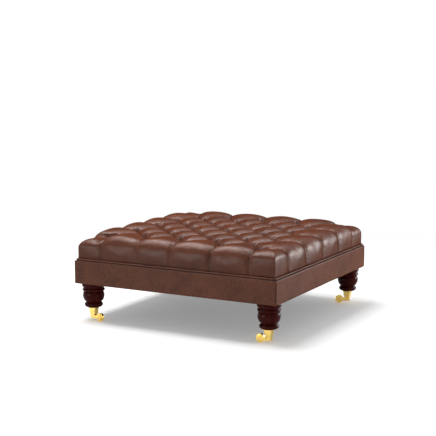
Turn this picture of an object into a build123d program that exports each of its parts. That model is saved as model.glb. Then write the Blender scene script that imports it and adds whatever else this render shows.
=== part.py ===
from build123d import *
import math
import os

# Square deep-buttoned leather footstool on four turned legs with brass castors.
# Millimetres, +Z up. The origin is on the floor under the middle of the stool, the front faces -Y.

# Overall
base_side = 910.0
base_height = 96.0
crest_height = 366.0
leg_height = 103.0
castor_height = 56.0
leg_inset = 55.0

# Leather and padding on the base
border_pad = 4.0
fold_thickness = 1.5
fold_width = 25.0
under_fold_width = 15.0
corner_radius = 4.0
dust_cover_thickness = 1.0
dust_cover_clearance = 0.3

# Timber frame
rail_thickness = 25.0
cross_rail_thickness = 20.0
cross_rail_height = 60.0
deck_thickness = 12.0
deck_margin = 1.0
block_side = 110.0
block_height = 50.0

# Seat
seat_inset = 12.0
edge_radius = 40.0
puff_fall = 4.0
foam_inset = 18.0
foam_clearance = 0.3
button_margin = 105.0
button_radius = 11.5
button_rim = 2.0
button_dome = 4.5
well_depth = 42.0
well_clearance = 1.0
pleat_depth = 20.0
border_pleat_half = 4.0
side_pleat_depth = 4.0
side_pleat_half = 12.5
shank_radius = 2.0
shank_length = 6.0
twine_radius = 0.9
twine_hole_clearance = 0.5
knot_radius = 3.0
knot_height = 4.0
twine_washer_radius = 9.0
twine_washer_thickness = 1.6

# Piping
piping_radius = 4.0
piping_inset = 7.6
piping_corner = 4.6
piping_tape = 1.0

# Turned leg, radii of its beads and hollows
top_bead_radius = 48.0
top_bead_edge = 45.0
top_bead_height = 16.0
second_bead_radius = 46.0
second_bead_edge = 42.0
second_bead_height = 13.0
bead_gap = 5.0
vase_top_radius = 41.0
vase_radius = 44.0
neck_radius = 32.0
neck_height = 3.0
foot_bead_radius = 38.0
foot_bead_edge = 27.0
foot_bead_height = 18.0
ankle_height = 3.0
foot_radius = 24.0
tenon_length = 22.0

# Square castor cup
cup_collar_side = 33.0
cup_collar_height = 3.0
cup_top_side = 31.0
cup_bottom_side = 23.0
cup_height = 28.5
cup_wall = 1.8
cup_floor = 4.0
cup_corner = 1.2
tenon_clearance = 0.15

# Castor horn, wheel and pins
horn_top_side = 22.0
horn_bottom_side = 20.5
horn_floor_gap = 11.0
horn_corner = 2.0
swivel_washer_thickness = 1.0
swivel_washer_radius = 9.0
swivel_gap = 0.1
castor_trail = 36.0
wheel_radius = 17.5
wheel_width = 12.0
wheel_rim = 2.0
wheel_dish_radius = 12.0
wheel_dish_depth = 1.0
wheel_hub_radius = 5.0
wheel_side_gap = 0.4
fork_thickness = 3.0
fork_end_radius = 12.0
fork_arm_height = 12.0
fork_root_overlap = 2.0
axle_radius = 2.5
axle_head_radius = 4.0
axle_head_height = 1.4
axle_head_taper = 35.0
running_clearance = 0.05
fixed_clearance = 0.02
swivel_pin_radius = 3.5
swivel_head_radius = 6.0
swivel_head_height = 2.0
swivel_foot_radius = 5.5
swivel_foot_height = 2.0
swivel_foot_recess = 0.5
swivel_foot_play = 0.3
swivel_foot_clearance = 0.7

# Fixings
bolt_radius = 4.0
bolt_in_leg = 40.0
bolt_in_block = 58.0
nut_flange_radius = 11.0
nut_flange_thickness = 1.5
nut_barrel_radius = 5.5
nut_barrel_length = 10.0
dowel_radius = 4.0
dowel_length = 40.0
deck_screw_radius = 2.0
deck_screw_head_radius = 4.0
deck_screw_length = 38.0
block_screw_radius = 2.2
block_screw_head_radius = 4.4
block_screw_length = 45.0
cup_screw_radius = 1.4
cup_screw_head_radius = 2.8
cup_screw_head_height = 1.0
cup_screw_length = 9.0
cup_screw_drop = 9.0
drill_clearance = 0.05
staple_crown = 10.0
staple_wire = 0.8
staple_leg = 8.0
staple_pitch = 90.0
staple_inset = 22.0
staples_each_way = 3

# One overrun serves every cut that goes right through
overrun = 1.0

# Castor directions in the photographed pose, degrees from +X, by corner
castor_turns = {
    "front_right": 180.0,
    "front_left": -10.4,
    "back_right": 201.5,
    "back_left": 12.0,
}

# Share of the room between the deck and the bottoms of the wells that the foam fills
foam_share = 0.8
# Share of the cushion's height by which the pleats cut into the border's edge
border_pleat_share = 0.12
# Shares of the way from one row of buttons to the next at which the seat is shaped, and the
# share of the pleat depth by which a puff's ridge has come down there
row_shares = (0.34, 0.66)
ridge_shares = (0.15, 0.7)
# Shares of the pleat depth by which the border's puff lies down at its middle vertex and before it
border_middle_shares = (0.2, 0.05)
border_near_shares = (0.35, 0.25)
# Shares of the border pleat's depth that its rounded edge still has beside the well and beyond
well_pleat_share = 0.6
border_pleat_shares = (0.25, 0.05)
# Turns of the rounded edge, in degrees, at which its sections lie
edge_turns = (0.0, 30.0, 60.0, 80.0)

# Heights that follow
floor = 0.0
leg_bottom = floor + castor_height
base_bottom = leg_bottom + leg_height
base_top = base_bottom + base_height
rail_bottom = base_bottom + fold_thickness
deck_top = base_top - fold_thickness
rail_top = deck_top - deck_thickness
rail_height = rail_top - rail_bottom
cover_bottom = base_top + piping_tape
well_floor = crest_height - well_depth
border_pleat_depth = (crest_height - cover_bottom) * border_pleat_share
edge_top = crest_height - puff_fall
side_top = edge_top - edge_radius
foam_bottom = deck_top
foam_thickness = (well_floor - foam_bottom) * foam_share
foam_top = foam_bottom + foam_thickness
washer_bottom = rail_top - twine_washer_thickness
twine_top = well_floor - shank_length

# Plan sizes that follow
base_half = base_side / 2
rail_outer = base_half - border_pad
rail_inner = rail_outer - rail_thickness
leg_place = base_half - leg_inset
seat_half = base_half - seat_inset
foam_half = seat_half - foam_inset
fold_inner = base_half - fold_width
under_fold_inner = base_half - under_fold_width
staple_line = base_half - staple_inset
button_pitch = (seat_half - button_margin) / 2
half_pitch = button_pitch / 2
well_half = button_radius + well_clearance
twine_hole_radius = shank_radius + twine_hole_clearance
cross_rail_place = 3 * half_pitch / 2

corner_signs = {
    "front_right": (1, -1),
    "front_left": (-1, -1),
    "back_right": (1, 1),
    "back_left": (-1, 1),
}
side_turns = {"front": -90.0, "right": 0.0, "back": 90.0, "left": 180.0}

five_rows = [button_pitch * i for i in range(-2, 3)]
four_rows = [button_pitch * (i + 1 / 2) for i in range(-2, 2)]
button_places = [(x, y) for x in five_rows for y in five_rows]
button_places += [(x, y) for x in four_rows for y in four_rows]

os.makedirs("parts", exist_ok=True)


def save(builder, name):
    builder.part.label = name
    export_step(builder.part, f"parts/{name}.step")


def corner_place(corner):
    sign_x, sign_y = corner_signs[corner]
    return sign_x * leg_place, sign_y * leg_place


# Frame rails: the front and back rails run full length, the side rails stand between them.
def dowel_places(sign_x, sign_y):
    x = sign_x * (rail_outer - rail_thickness / 2)
    spread = rail_height / 4
    middle = (rail_bottom + rail_top) / 2
    return [(x, sign_y * rail_inner, middle + spread), (x, sign_y * rail_inner, middle - spread)]


all_dowels = [place for signs in corner_signs.values() for place in dowel_places(*signs)]
screw_step = rail_inner / 2
screw_line = rail_outer - rail_thickness / 2
deck_screw_places = []
for i in range(-1, 2):
    for side in (-1, 1):
        deck_screw_places.append((i * screw_step, side * screw_line))
        deck_screw_places.append((side * screw_line, i * screw_step))

# Each corner block takes one screw into each of the two rails that it stiffens.
block_screw_height = rail_bottom + block_height / 2
block_screw_reach = block_side / 4


def block_screw_planes():
    planes = []
    for sign_x, sign_y in corner_signs.values():
        along_x = sign_x * (rail_inner - block_side + block_screw_reach)
        along_y = sign_y * (rail_inner - block_side + block_screw_reach)
        start_x = sign_x * (rail_inner - block_screw_reach)
        start_y = sign_y * (rail_inner - block_screw_reach)
        head_x = (start_x, along_y, block_screw_height)
        head_y = (along_x, start_y, block_screw_height)
        planes.append(Plane(origin=head_x, z_dir=(sign_x, 0, 0)))
        planes.append(Plane(origin=head_y, z_dir=(0, sign_y, 0)))
    return planes


def drill_frame_holes():
    with Locations(*[Plane(origin=place, z_dir=(0, 1, 0)) for place in all_dowels]):
        Cylinder(dowel_radius + drill_clearance, dowel_length + overrun, mode=Mode.SUBTRACT)
    deck_holes = [(x, y, deck_top) for x, y in deck_screw_places]
    with Locations(*deck_holes):
        Cylinder(
            deck_screw_radius + drill_clearance,
            deck_screw_length + overrun,
            align=(Align.CENTER, Align.CENTER, Align.MAX),
            mode=Mode.SUBTRACT,
        )
    with Locations(*block_screw_planes()):
        Cylinder(
            block_screw_radius + drill_clearance,
            block_screw_length + overrun,
            align=(Align.CENTER, Align.CENTER, Align.MIN),
            mode=Mode.SUBTRACT,
        )


for name, side in (("front_rail", -1), ("back_rail", 1)):
    with BuildPart() as long_rail:
        with BuildSketch(Plane.XY.offset(rail_bottom)):
            with Locations((0, side * screw_line)):
                Rectangle(2 * rail_outer, rail_thickness)
        extrude(amount=rail_height)
        drill_frame_holes()
    save(long_rail, name)

for name, side in (("left_rail", -1), ("right_rail", 1)):
    with BuildPart() as short_rail:
        with BuildSketch(Plane.XY.offset(rail_bottom)):
            with Locations((side * screw_line, 0)):
                Rectangle(rail_thickness, 2 * rail_inner)
        extrude(amount=rail_height)
        drill_frame_holes()
    save(short_rail, name)

for name, side in (("front_cross_rail", -1), ("back_cross_rail", 1)):
    with BuildPart() as cross_rail:
        with BuildSketch(Plane.XY.offset(rail_top)):
            with Locations((0, side * cross_rail_place)):
                Rectangle(2 * rail_inner, cross_rail_thickness)
        extrude(amount=-cross_rail_height)
    save(cross_rail, name)

# Triangular corner blocks, each drilled for its leg's bolt and for its screws
for corner, (sign_x, sign_y) in corner_signs.items():
    with BuildPart() as block:
        with BuildSketch(Plane.XY.offset(rail_bottom)):
            with BuildLine():
                Polyline(
                    (sign_x * rail_inner, sign_y * rail_inner),
                    (sign_x * (rail_inner - block_side), sign_y * rail_inner),
                    (sign_x * rail_inner, sign_y * (rail_inner - block_side)),
                    close=True,
                )
            make_face()
        extrude(amount=block_height)
        with Locations((*corner_place(corner), rail_bottom + block_height)):
            Cylinder(
                bolt_radius + drill_clearance,
                2 * block_height + overrun,
                mode=Mode.SUBTRACT,
            )
            Cylinder(
                nut_barrel_radius + drill_clearance,
                nut_barrel_length + overrun,
                align=(Align.CENTER, Align.CENTER, Align.MAX),
                mode=Mode.SUBTRACT,
            )
        with Locations(*block_screw_planes()):
            Cylinder(
                block_screw_radius + drill_clearance,
                block_screw_length + overrun,
                align=(Align.CENTER, Align.CENTER, Align.MIN),
                mode=Mode.SUBTRACT,
            )
        head_height = block_screw_head_radius - block_screw_radius
        with Locations(*[plane.offset(head_height) for plane in block_screw_planes()]):
            Cylinder(
                block_screw_head_radius + drill_clearance,
                block_side,
                align=(Align.CENTER, Align.CENTER, Align.MAX),
                mode=Mode.SUBTRACT,
            )
    save(block, f"{corner}_block")

with BuildPart() as rail_dowels:
    with Locations(*[Plane(origin=place, z_dir=(0, 1, 0)) for place in all_dowels]):
        Cylinder(dowel_radius, dowel_length)
save(rail_dowels, "rail_dowels")

# Plywood deck with one hole for each button's twine
with BuildPart() as deck_board:
    with BuildSketch(Plane.XY.offset(rail_top)):
        Rectangle(2 * (rail_outer - deck_margin), 2 * (rail_outer - deck_margin))
    extrude(amount=deck_thickness)
    with Locations(*[(x, y, rail_top) for x, y in button_places]):
        Cylinder(twine_hole_radius, 2 * deck_thickness + overrun, mode=Mode.SUBTRACT)
    with Locations(*[(x, y, deck_top) for x, y in deck_screw_places]):
        CounterSinkHole(
            deck_screw_radius + drill_clearance,
            deck_screw_head_radius + drill_clearance,
            depth=deck_thickness + overrun,
        )
save(deck_board, "deck_board")


def screw(radius, head_radius, length):
    """A countersunk screw, its head's flat top at the origin and its point down."""
    with BuildPart() as whole:
        with BuildSketch(Plane.XZ):
            with BuildLine():
                Polyline(
                    (0, 0),
                    (head_radius, 0),
                    (radius, radius - head_radius),
                    (radius, radius - length),
                    (0, -length),
                    close=True,
                )
            make_face()
        revolve(axis=Axis.Z)
    return whole.part


deck_screw = screw(deck_screw_radius, deck_screw_head_radius, deck_screw_length)
with BuildPart() as deck_screws:
    with Locations(*[(x, y, deck_top) for x, y in deck_screw_places]):
        add(deck_screw)
save(deck_screws, "deck_screws")

block_screw = screw(block_screw_radius, block_screw_head_radius, block_screw_length)
with BuildPart() as block_screws:
    with Locations(*[Plane(plane.origin, z_dir=-plane.z_dir) for plane in block_screw_planes()]):
        add(block_screw)
save(block_screws, "block_screws")

# Foam block under the cover, pierced by the twines
with BuildPart() as seat_foam:
    with BuildSketch(Plane.XY.offset(foam_bottom)):
        Rectangle(2 * foam_half, 2 * foam_half)
    extrude(amount=foam_thickness)
    with Locations(*[(x, y, foam_bottom) for x, y in button_places]):
        Cylinder(twine_hole_radius, 2 * foam_thickness + overrun, mode=Mode.SUBTRACT)
save(seat_foam, "seat_foam")


# Tufted leather cover with its wadding. Sections across the seat, one behind the other, have
# the same run of edges: a puff's arc between two pleats, or a short flat at a button.
shoulder_in = seat_half - edge_radius
last_turn = math.radians(edge_turns[-1])
outer_row = five_rows[-1]


def arc_over(start, end, rise):
    run = end[0] - start[0]
    climb = end[1] - start[1]
    chord = math.hypot(run, climb)
    middle_x = (start[0] + end[0]) / 2 - rise * climb / chord
    middle_z = (start[1] + end[1]) / 2 + rise * run / chord
    ThreePointArc(start, (middle_x, middle_z), end)


def puff(start, end, ridge):
    if ridge is None:
        Line(start, end)
    else:
        arc_over(start, end, ridge - (start[1] + end[1]) / 2)


def seat_section(y, spread, low, ridge_a, ridge_b, middle, border_ridges, turn=0, pleat=0, tuck=0):
    """The outline at y. Pleats lie at spread on each side of the five rows and at height low.
    Puffs a and b alternate between them and rise to their ridges, or are flat where that is None.
    The border has a vertex at middle, and its rounded edge begins at turn. A pleat lowers that
    shoulder, and a tuck draws the side in."""
    angle = math.radians(turn)
    side_x = seat_half - tuck
    shoulder_x = side_x - edge_radius + edge_radius * math.sin(angle) / math.sin(last_turn)
    shoulder = (shoulder_x, edge_top - edge_radius * (1 - math.cos(angle)) - pleat)
    hip = (side_x, side_top - pleat / 2)
    corner_rise = edge_radius * (1 - math.cos((math.pi / 2 - angle) / 2))
    valleys = [(row + side * spread, low) for row in five_rows for side in (-1, 1)][1:-1]
    points = [(-shoulder[0], shoulder[1]), (-middle[0], middle[1])]
    points += valleys + [middle, shoulder]
    near, far = border_ridges
    ridges = [far, near] + [ridge_a, ridge_b] * 3 + [ridge_a] + [near, far]
    with BuildSketch(Plane.XZ.offset(-y)) as outline:
        with BuildLine():
            Line((-side_x, cover_bottom), (-hip[0], hip[1]))
            arc_over((-hip[0], hip[1]), points[0], corner_rise)
            for start, end, ridge in zip(points, points[1:], ridges):
                puff(start, end, ridge)
            arc_over(shoulder, hip, corner_rise)
            Line(hip, (side_x, cover_bottom))
            Line((side_x, cover_bottom), (-side_x, cover_bottom))
        make_face()
    return outline.sketch


def border_section(side, turn):
    """An outline on the rounded edge, where the pleats of the outer buttons run straight out."""
    angle = math.radians(turn)
    fall = edge_radius * (1 - math.cos(angle))
    top = edge_top - fall
    low = top - border_pleat_depth
    y = shoulder_in + edge_radius * math.sin(angle) / math.sin(last_turn)
    middle = (outer_row + border_pleat_half, low)
    puff_top = top + puff_fall * math.cos(angle)
    ridges = (None, puff_top)
    return seat_section(side * y, border_pleat_half, low, puff_top, None, middle, ridges, turn)


def button_section(y, pleat, tuck=0):
    """An outline through a row of five buttons, or beside their wells."""
    middle = (outer_row + well_half, well_floor)
    ridges = (None, crest_height - border_pleat_depth / 2 - pleat)
    top = crest_height
    return seat_section(y, well_half, well_floor, top, None, middle, ridges, 0, pleat, tuck)


def between_section(y, step):
    """An outline between the rows, step 0 nearer to a row of five and step 1 to one of four."""
    pleat = border_pleat_depth * border_pleat_shares[step]
    spread = half_pitch * row_shares[step]
    low = crest_height - pleat_depth
    ridge_a = crest_height - pleat_depth * ridge_shares[step]
    ridge_b = crest_height - pleat_depth * ridge_shares[1 - step]
    middle_height = crest_height - pleat_depth * border_middle_shares[step]
    middle = (outer_row + well_half, middle_height)
    near = crest_height - pleat_depth * border_near_shares[step]
    ridges = (near, crest_height - pleat)
    return seat_section(y, spread, low, ridge_a, ridge_b, middle, ridges, 0, pleat)


def four_button_section(y):
    """An outline beside the wells of a row of four buttons."""
    spread = half_pitch - well_half
    middle = (outer_row + well_half, crest_height)
    near = crest_height - pleat_depth * border_near_shares[0]
    ridges = (near, crest_height)
    return seat_section(y, spread, well_floor, None, crest_height, middle, ridges)


well_pleat = border_pleat_depth * well_pleat_share
sections = [border_section(-1, turn) for turn in reversed(edge_turns)]
for row in five_rows:
    if row > five_rows[0]:
        sections.append(four_button_section(row - half_pitch - well_half))
        sections.append(four_button_section(row - half_pitch + well_half))
        sections.append(between_section(row - half_pitch * row_shares[1], 1))
        sections.append(between_section(row - half_pitch * row_shares[0], 0))
    sections.append(button_section(row - well_half, well_pleat))
    sections.append(button_section(row, border_pleat_depth, side_pleat_depth))
    sections.append(button_section(row + well_half, well_pleat))
    if row < outer_row:
        sections.append(between_section(row + half_pitch * row_shares[0], 0))
        sections.append(between_section(row + half_pitch * row_shares[1], 1))
sections += [border_section(1, turn) for turn in edge_turns]

with BuildPart() as tufted_cover:
    loft(sections, ruled=True)
    with BuildSketch(Plane.XY.offset(cover_bottom)):
        Rectangle(2 * (foam_half + foam_clearance), 2 * (foam_half + foam_clearance))
    extrude(amount=foam_top - cover_bottom, mode=Mode.SUBTRACT)
    # Pleats run on down the front and back sides
    for side in (-1, 1):
        with BuildSketch(Plane.XY.offset(cover_bottom)):
            for row in five_rows:
                with BuildLine():
                    Polyline(
                        (row, side * (seat_half - side_pleat_depth)),
                        (row + side_pleat_half, side * seat_half),
                        (row + side_pleat_half, side * (seat_half + side_pleat_depth)),
                        (row - side_pleat_half, side * (seat_half + side_pleat_depth)),
                        (row - side_pleat_half, side * seat_half),
                        close=True,
                    )
                make_face()
        extrude(amount=side_top - cover_bottom, mode=Mode.SUBTRACT)
    with Locations(*[(x, y, well_floor) for x, y in button_places]):
        Cylinder(twine_hole_radius, 2 * (well_floor - foam_top) + overrun, mode=Mode.SUBTRACT)
save(tufted_cover, "tufted_cover")

# Leather-covered buttons: a rim, a dome and the shank that the twine is tied to
with BuildPart() as one_button:
    with BuildSketch(Plane.XZ):
        with BuildLine():
            Line((0, -shank_length), (shank_radius, -shank_length))
            Line((shank_radius, -shank_length), (shank_radius, 0))
            Line((shank_radius, 0), (button_radius, 0))
            Line((button_radius, 0), (button_radius, button_rim))
            arc_over((0, button_rim + button_dome), (button_radius, button_rim), button_rim / 2)
            Line((0, button_rim + button_dome), (0, -shank_length))
        make_face()
    revolve(axis=Axis.Z)
with BuildPart() as cover_buttons:
    with Locations(*[(x, y, well_floor) for x, y in button_places]):
        add(one_button.part)
save(cover_buttons, "cover_buttons")

with BuildPart() as one_twine:
    with BuildSketch(Plane.XZ):
        with BuildLine():
            Polyline(
                (0, twine_top),
                (twine_radius, twine_top),
                (twine_radius, washer_bottom),
                (knot_radius, washer_bottom),
                (knot_radius, washer_bottom - knot_height),
                (0, washer_bottom - knot_height),
                close=True,
            )
        make_face()
    revolve(axis=Axis.Z)
with BuildPart() as button_twines:
    with Locations(*[(x, y) for x, y in button_places]):
        add(one_twine.part)
save(button_twines, "button_twines")

with BuildPart() as twine_washers:
    with BuildSketch(Plane.XY.offset(washer_bottom)):
        with Locations(*button_places):
            Circle(twine_washer_radius)
            Circle(twine_radius + fixed_clearance, mode=Mode.SUBTRACT)
    extrude(amount=twine_washer_thickness)
save(twine_washers, "twine_washers")

# Border of the base: padded leather round the rails, folded over the deck and under the rails,
# in four lengths that meet in a seam at each corner
for side, turn in side_turns.items():
    with BuildPart() as border:
        with BuildSketch(Plane.XY.offset(base_bottom)):
            RectangleRounded(base_side, base_side, corner_radius)
        extrude(amount=base_height)
        with BuildSketch(Plane.XY.offset(rail_bottom)):
            Rectangle(2 * rail_outer, 2 * rail_outer)
        extrude(amount=deck_top - rail_bottom, mode=Mode.SUBTRACT)
        with BuildSketch(Plane.XY.offset(deck_top)):
            Rectangle(2 * fold_inner, 2 * fold_inner)
        extrude(amount=fold_thickness, mode=Mode.SUBTRACT)
        with BuildSketch(Plane.XY.offset(base_bottom)):
            Rectangle(2 * under_fold_inner, 2 * under_fold_inner)
        extrude(amount=fold_thickness, mode=Mode.SUBTRACT)
        with BuildSketch(Plane.XY.offset(base_bottom).rotated((0, 0, turn))):
            with BuildLine():
                Polyline((0, 0), (base_side, -base_side), (base_side, base_side), close=True)
            make_face()
        extrude(amount=base_height, mode=Mode.INTERSECT)
    save(border, f"{side}_border")

# Piping: a bead round the foot of the seat, with the tape that is trapped under the cover
piping_half = base_half - piping_inset
with BuildPart() as piping:
    with BuildLine(Plane.XY.offset(base_top + piping_radius)) as piping_path:
        FilletPolyline(
            (-piping_half, -piping_half),
            (piping_half, -piping_half),
            (piping_half, piping_half),
            (-piping_half, piping_half),
            radius=piping_corner,
            close=True,
        )
    with BuildSketch(Plane(origin=piping_path.line @ 0, z_dir=piping_path.line % 0)):
        Circle(piping_radius)
    sweep()
    with BuildSketch(Plane.XY.offset(base_top)):
        RectangleRounded(2 * piping_half, 2 * piping_half, piping_corner)
        Rectangle(2 * fold_inner, 2 * fold_inner, mode=Mode.SUBTRACT)
    extrude(amount=piping_tape)
save(piping, "piping")

# Dust cover under the frame, let in between the folds, and the staples that hold it
with BuildPart() as dust_cover:
    with BuildSketch(Plane.XY.offset(base_bottom)):
        dust_side = 2 * (under_fold_inner - dust_cover_clearance)
        Rectangle(dust_side, dust_side)
        with Locations(*[corner_place(corner) for corner in corner_signs]):
            Circle(bolt_radius + drill_clearance, mode=Mode.SUBTRACT)
    extrude(amount=dust_cover_thickness)
save(dust_cover, "dust_cover")

staple_steps = range(-staples_each_way, staples_each_way + 1)
with BuildPart() as dust_cover_staples:
    for turn in side_turns.values():
        with BuildSketch(Plane.XY.offset(base_bottom).rotated((0, 0, turn))):
            with Locations(*[(staple_line, staple_pitch * i) for i in staple_steps]):
                Rectangle(staple_wire, staple_crown)
        extrude(amount=-staple_wire)
        with BuildSketch(Plane.XY.offset(base_bottom).rotated((0, 0, turn))):
            with Locations(*[(staple_line, staple_pitch * i) for i in staple_steps]):
                with GridLocations(0, staple_crown - staple_wire, 1, 2):
                    Rectangle(staple_wire, staple_wire)
        extrude(amount=staple_leg)
save(dust_cover_staples, "dust_cover_staples")

# Turned legs: two beads, a vase, a neck and a foot bead, with a tapered tenon for the castor cup
top_bead_bottom = base_bottom - top_bead_height
second_bead_top = top_bead_bottom - bead_gap
second_bead_bottom = second_bead_top - second_bead_height
vase_top = second_bead_bottom - neck_height
foot_bead_bottom = leg_bottom + ankle_height
foot_bead_top = foot_bead_bottom + foot_bead_height
vase_bottom = foot_bead_top + neck_height
cup_bottom = leg_bottom - cup_height
cup_cavity = cup_bottom + cup_floor
tenon_foot = leg_bottom - tenon_length


def cup_side(height):
    share = (height - cup_bottom) / cup_height
    return cup_bottom_side + (cup_top_side - cup_bottom_side) * share


def square_taper(place, low, high, allowance):
    """A square taper between two heights, smaller than the cup's outside by the allowance."""
    with BuildPart() as taper:
        for height in (low, high):
            with BuildSketch(Plane(origin=(*place, height))):
                side = cup_side(height) - 2 * allowance
                RectangleRounded(side, side, cup_corner)
        loft()
    return taper.part


cup_screw_height = leg_bottom - cup_screw_drop
cup_screw_face = cup_side(cup_screw_height + cup_screw_head_radius) / 2


def cup_screw_planes(corner):
    x, y = corner_place(corner)
    planes = []
    for side in (-1, 1):
        origin = (x + side * cup_screw_face, y, cup_screw_height)
        planes.append(Plane(origin=origin, x_dir=(0, 1, 0), z_dir=(side, 0, 0)))
    return planes


def drill_cup_screws(corner):
    with Locations(*cup_screw_planes(corner)):
        Cylinder(
            cup_screw_radius + drill_clearance,
            2 * cup_screw_length + overrun,
            mode=Mode.SUBTRACT,
        )


for corner in corner_signs:
    leg_x, leg_y = corner_place(corner)
    tenon = square_taper((leg_x, leg_y), tenon_foot, leg_bottom, cup_wall + tenon_clearance)
    with BuildPart() as leg:
        with BuildSketch(Plane(origin=(leg_x, leg_y, 0), x_dir=(1, 0, 0), z_dir=(0, -1, 0))):
            with BuildLine():
                Line((0, base_bottom), (top_bead_edge, base_bottom))
                ThreePointArc(
                    (top_bead_edge, base_bottom),
                    (top_bead_radius, (base_bottom + top_bead_bottom) / 2),
                    (top_bead_edge, top_bead_bottom),
                )
                Line((top_bead_edge, top_bead_bottom), (second_bead_edge, top_bead_bottom))
                Line((second_bead_edge, top_bead_bottom), (second_bead_edge, second_bead_top))
                ThreePointArc(
                    (second_bead_edge, second_bead_top),
                    (second_bead_radius, (second_bead_top + second_bead_bottom) / 2),
                    (second_bead_edge, second_bead_bottom),
                )
                Line((second_bead_edge, second_bead_bottom), (vase_top_radius, vase_top))
                ThreePointArc(
                    (vase_top_radius, vase_top),
                    (vase_radius, (vase_top + vase_bottom) / 2),
                    (neck_radius, vase_bottom),
                )
                Line((neck_radius, vase_bottom), (neck_radius, foot_bead_top))
                ThreePointArc(
                    (neck_radius, foot_bead_top),
                    (foot_bead_radius, (foot_bead_top + foot_bead_bottom) / 2),
                    (foot_bead_edge, foot_bead_bottom),
                )
                Line((foot_bead_edge, foot_bead_bottom), (foot_radius, leg_bottom))
                Line((foot_radius, leg_bottom), (0, leg_bottom))
                Line((0, leg_bottom), (0, base_bottom))
            make_face()
        revolve(axis=Axis((leg_x, leg_y, 0), (0, 0, 1)))
        add(tenon)
        with Locations((leg_x, leg_y, base_bottom)):
            Cylinder(bolt_radius + drill_clearance, 2 * bolt_in_leg, mode=Mode.SUBTRACT)
        drill_cup_screws(corner)
    save(leg, f"{corner}_leg")

with BuildPart() as hanger_bolts:
    with Locations(*[(*corner_place(corner), base_bottom) for corner in corner_signs]):
        Cylinder(bolt_radius, bolt_in_leg, align=(Align.CENTER, Align.CENTER, Align.MAX))
        Cylinder(bolt_radius, bolt_in_block, align=(Align.CENTER, Align.CENTER, Align.MIN))
save(hanger_bolts, "hanger_bolts")

with BuildPart() as leg_nuts:
    block_top = rail_bottom + block_height
    with Locations(*[(*corner_place(corner), block_top) for corner in corner_signs]):
        Cylinder(
            nut_flange_radius,
            nut_flange_thickness,
            align=(Align.CENTER, Align.CENTER, Align.MIN),
        )
        Cylinder(
            nut_barrel_radius,
            nut_barrel_length,
            align=(Align.CENTER, Align.CENTER, Align.MAX),
        )
        Cylinder(bolt_radius + fixed_clearance, 2 * nut_barrel_length + overrun, mode=Mode.SUBTRACT)
save(leg_nuts, "leg_nuts")

# Brass castor cups, closed at the foot but for the swivel pin
for corner in corner_signs:
    place = corner_place(corner)
    outside = square_taper(place, cup_bottom, leg_bottom, 0)
    socket = square_taper(place, cup_cavity, leg_bottom, cup_wall)
    with BuildPart() as cup:
        add(outside)
        with BuildSketch(Plane(origin=(*place, leg_bottom))):
            RectangleRounded(cup_collar_side, cup_collar_side, cup_corner)
        extrude(amount=-cup_collar_height)
        add(socket, mode=Mode.SUBTRACT)
        with Locations((*place, cup_bottom)):
            Cylinder(swivel_pin_radius + fixed_clearance, 2 * cup_floor + overrun, mode=Mode.SUBTRACT)
        drill_cup_screws(corner)
    save(cup, f"{corner}_castor_cup")

with BuildPart() as cup_screws:
    for corner in corner_signs:
        with Locations(*cup_screw_planes(corner)):
            Cylinder(
                cup_screw_head_radius,
                cup_screw_head_height,
                align=(Align.CENTER, Align.CENTER, Align.MIN),
            )
            Cylinder(
                cup_screw_radius,
                cup_screw_length,
                align=(Align.CENTER, Align.CENTER, Align.MAX),
            )
save(cup_screws, "cup_screws")

# Swivel pins, riveted over in the cup and in a recess under the horn, with a washer between
washer_top = cup_bottom
washer_foot = washer_top - swivel_washer_thickness
horn_top = washer_foot - swivel_gap
recess_roof = horn_floor_gap + swivel_foot_recess + swivel_foot_height + swivel_foot_play
pin_foot = horn_floor_gap + swivel_foot_recess

with BuildPart() as swivel_pins:
    with Locations(*[(*corner_place(corner), pin_foot) for corner in corner_signs]):
        Cylinder(
            swivel_foot_radius,
            swivel_foot_height,
            align=(Align.CENTER, Align.CENTER, Align.MIN),
        )
        Cylinder(
            swivel_pin_radius,
            cup_cavity - pin_foot,
            align=(Align.CENTER, Align.CENTER, Align.MIN),
        )
    with Locations(*[(*corner_place(corner), cup_cavity) for corner in corner_signs]):
        Cylinder(
            swivel_head_radius,
            swivel_head_height,
            align=(Align.CENTER, Align.CENTER, Align.MIN),
        )
save(swivel_pins, "swivel_pins")

with BuildPart() as swivel_washers:
    with BuildSketch(Plane.XY.offset(washer_foot)):
        with Locations(*[corner_place(corner) for corner in corner_signs]):
            Circle(swivel_washer_radius)
            Circle(swivel_pin_radius + running_clearance, mode=Mode.SUBTRACT)
    extrude(amount=swivel_washer_thickness)
save(swivel_washers, "swivel_washers")

# Horns, axles and wheels, each set at its castor's turn
fork_inner = wheel_width / 2 + wheel_side_gap
fork_outer = fork_inner + fork_thickness

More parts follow.
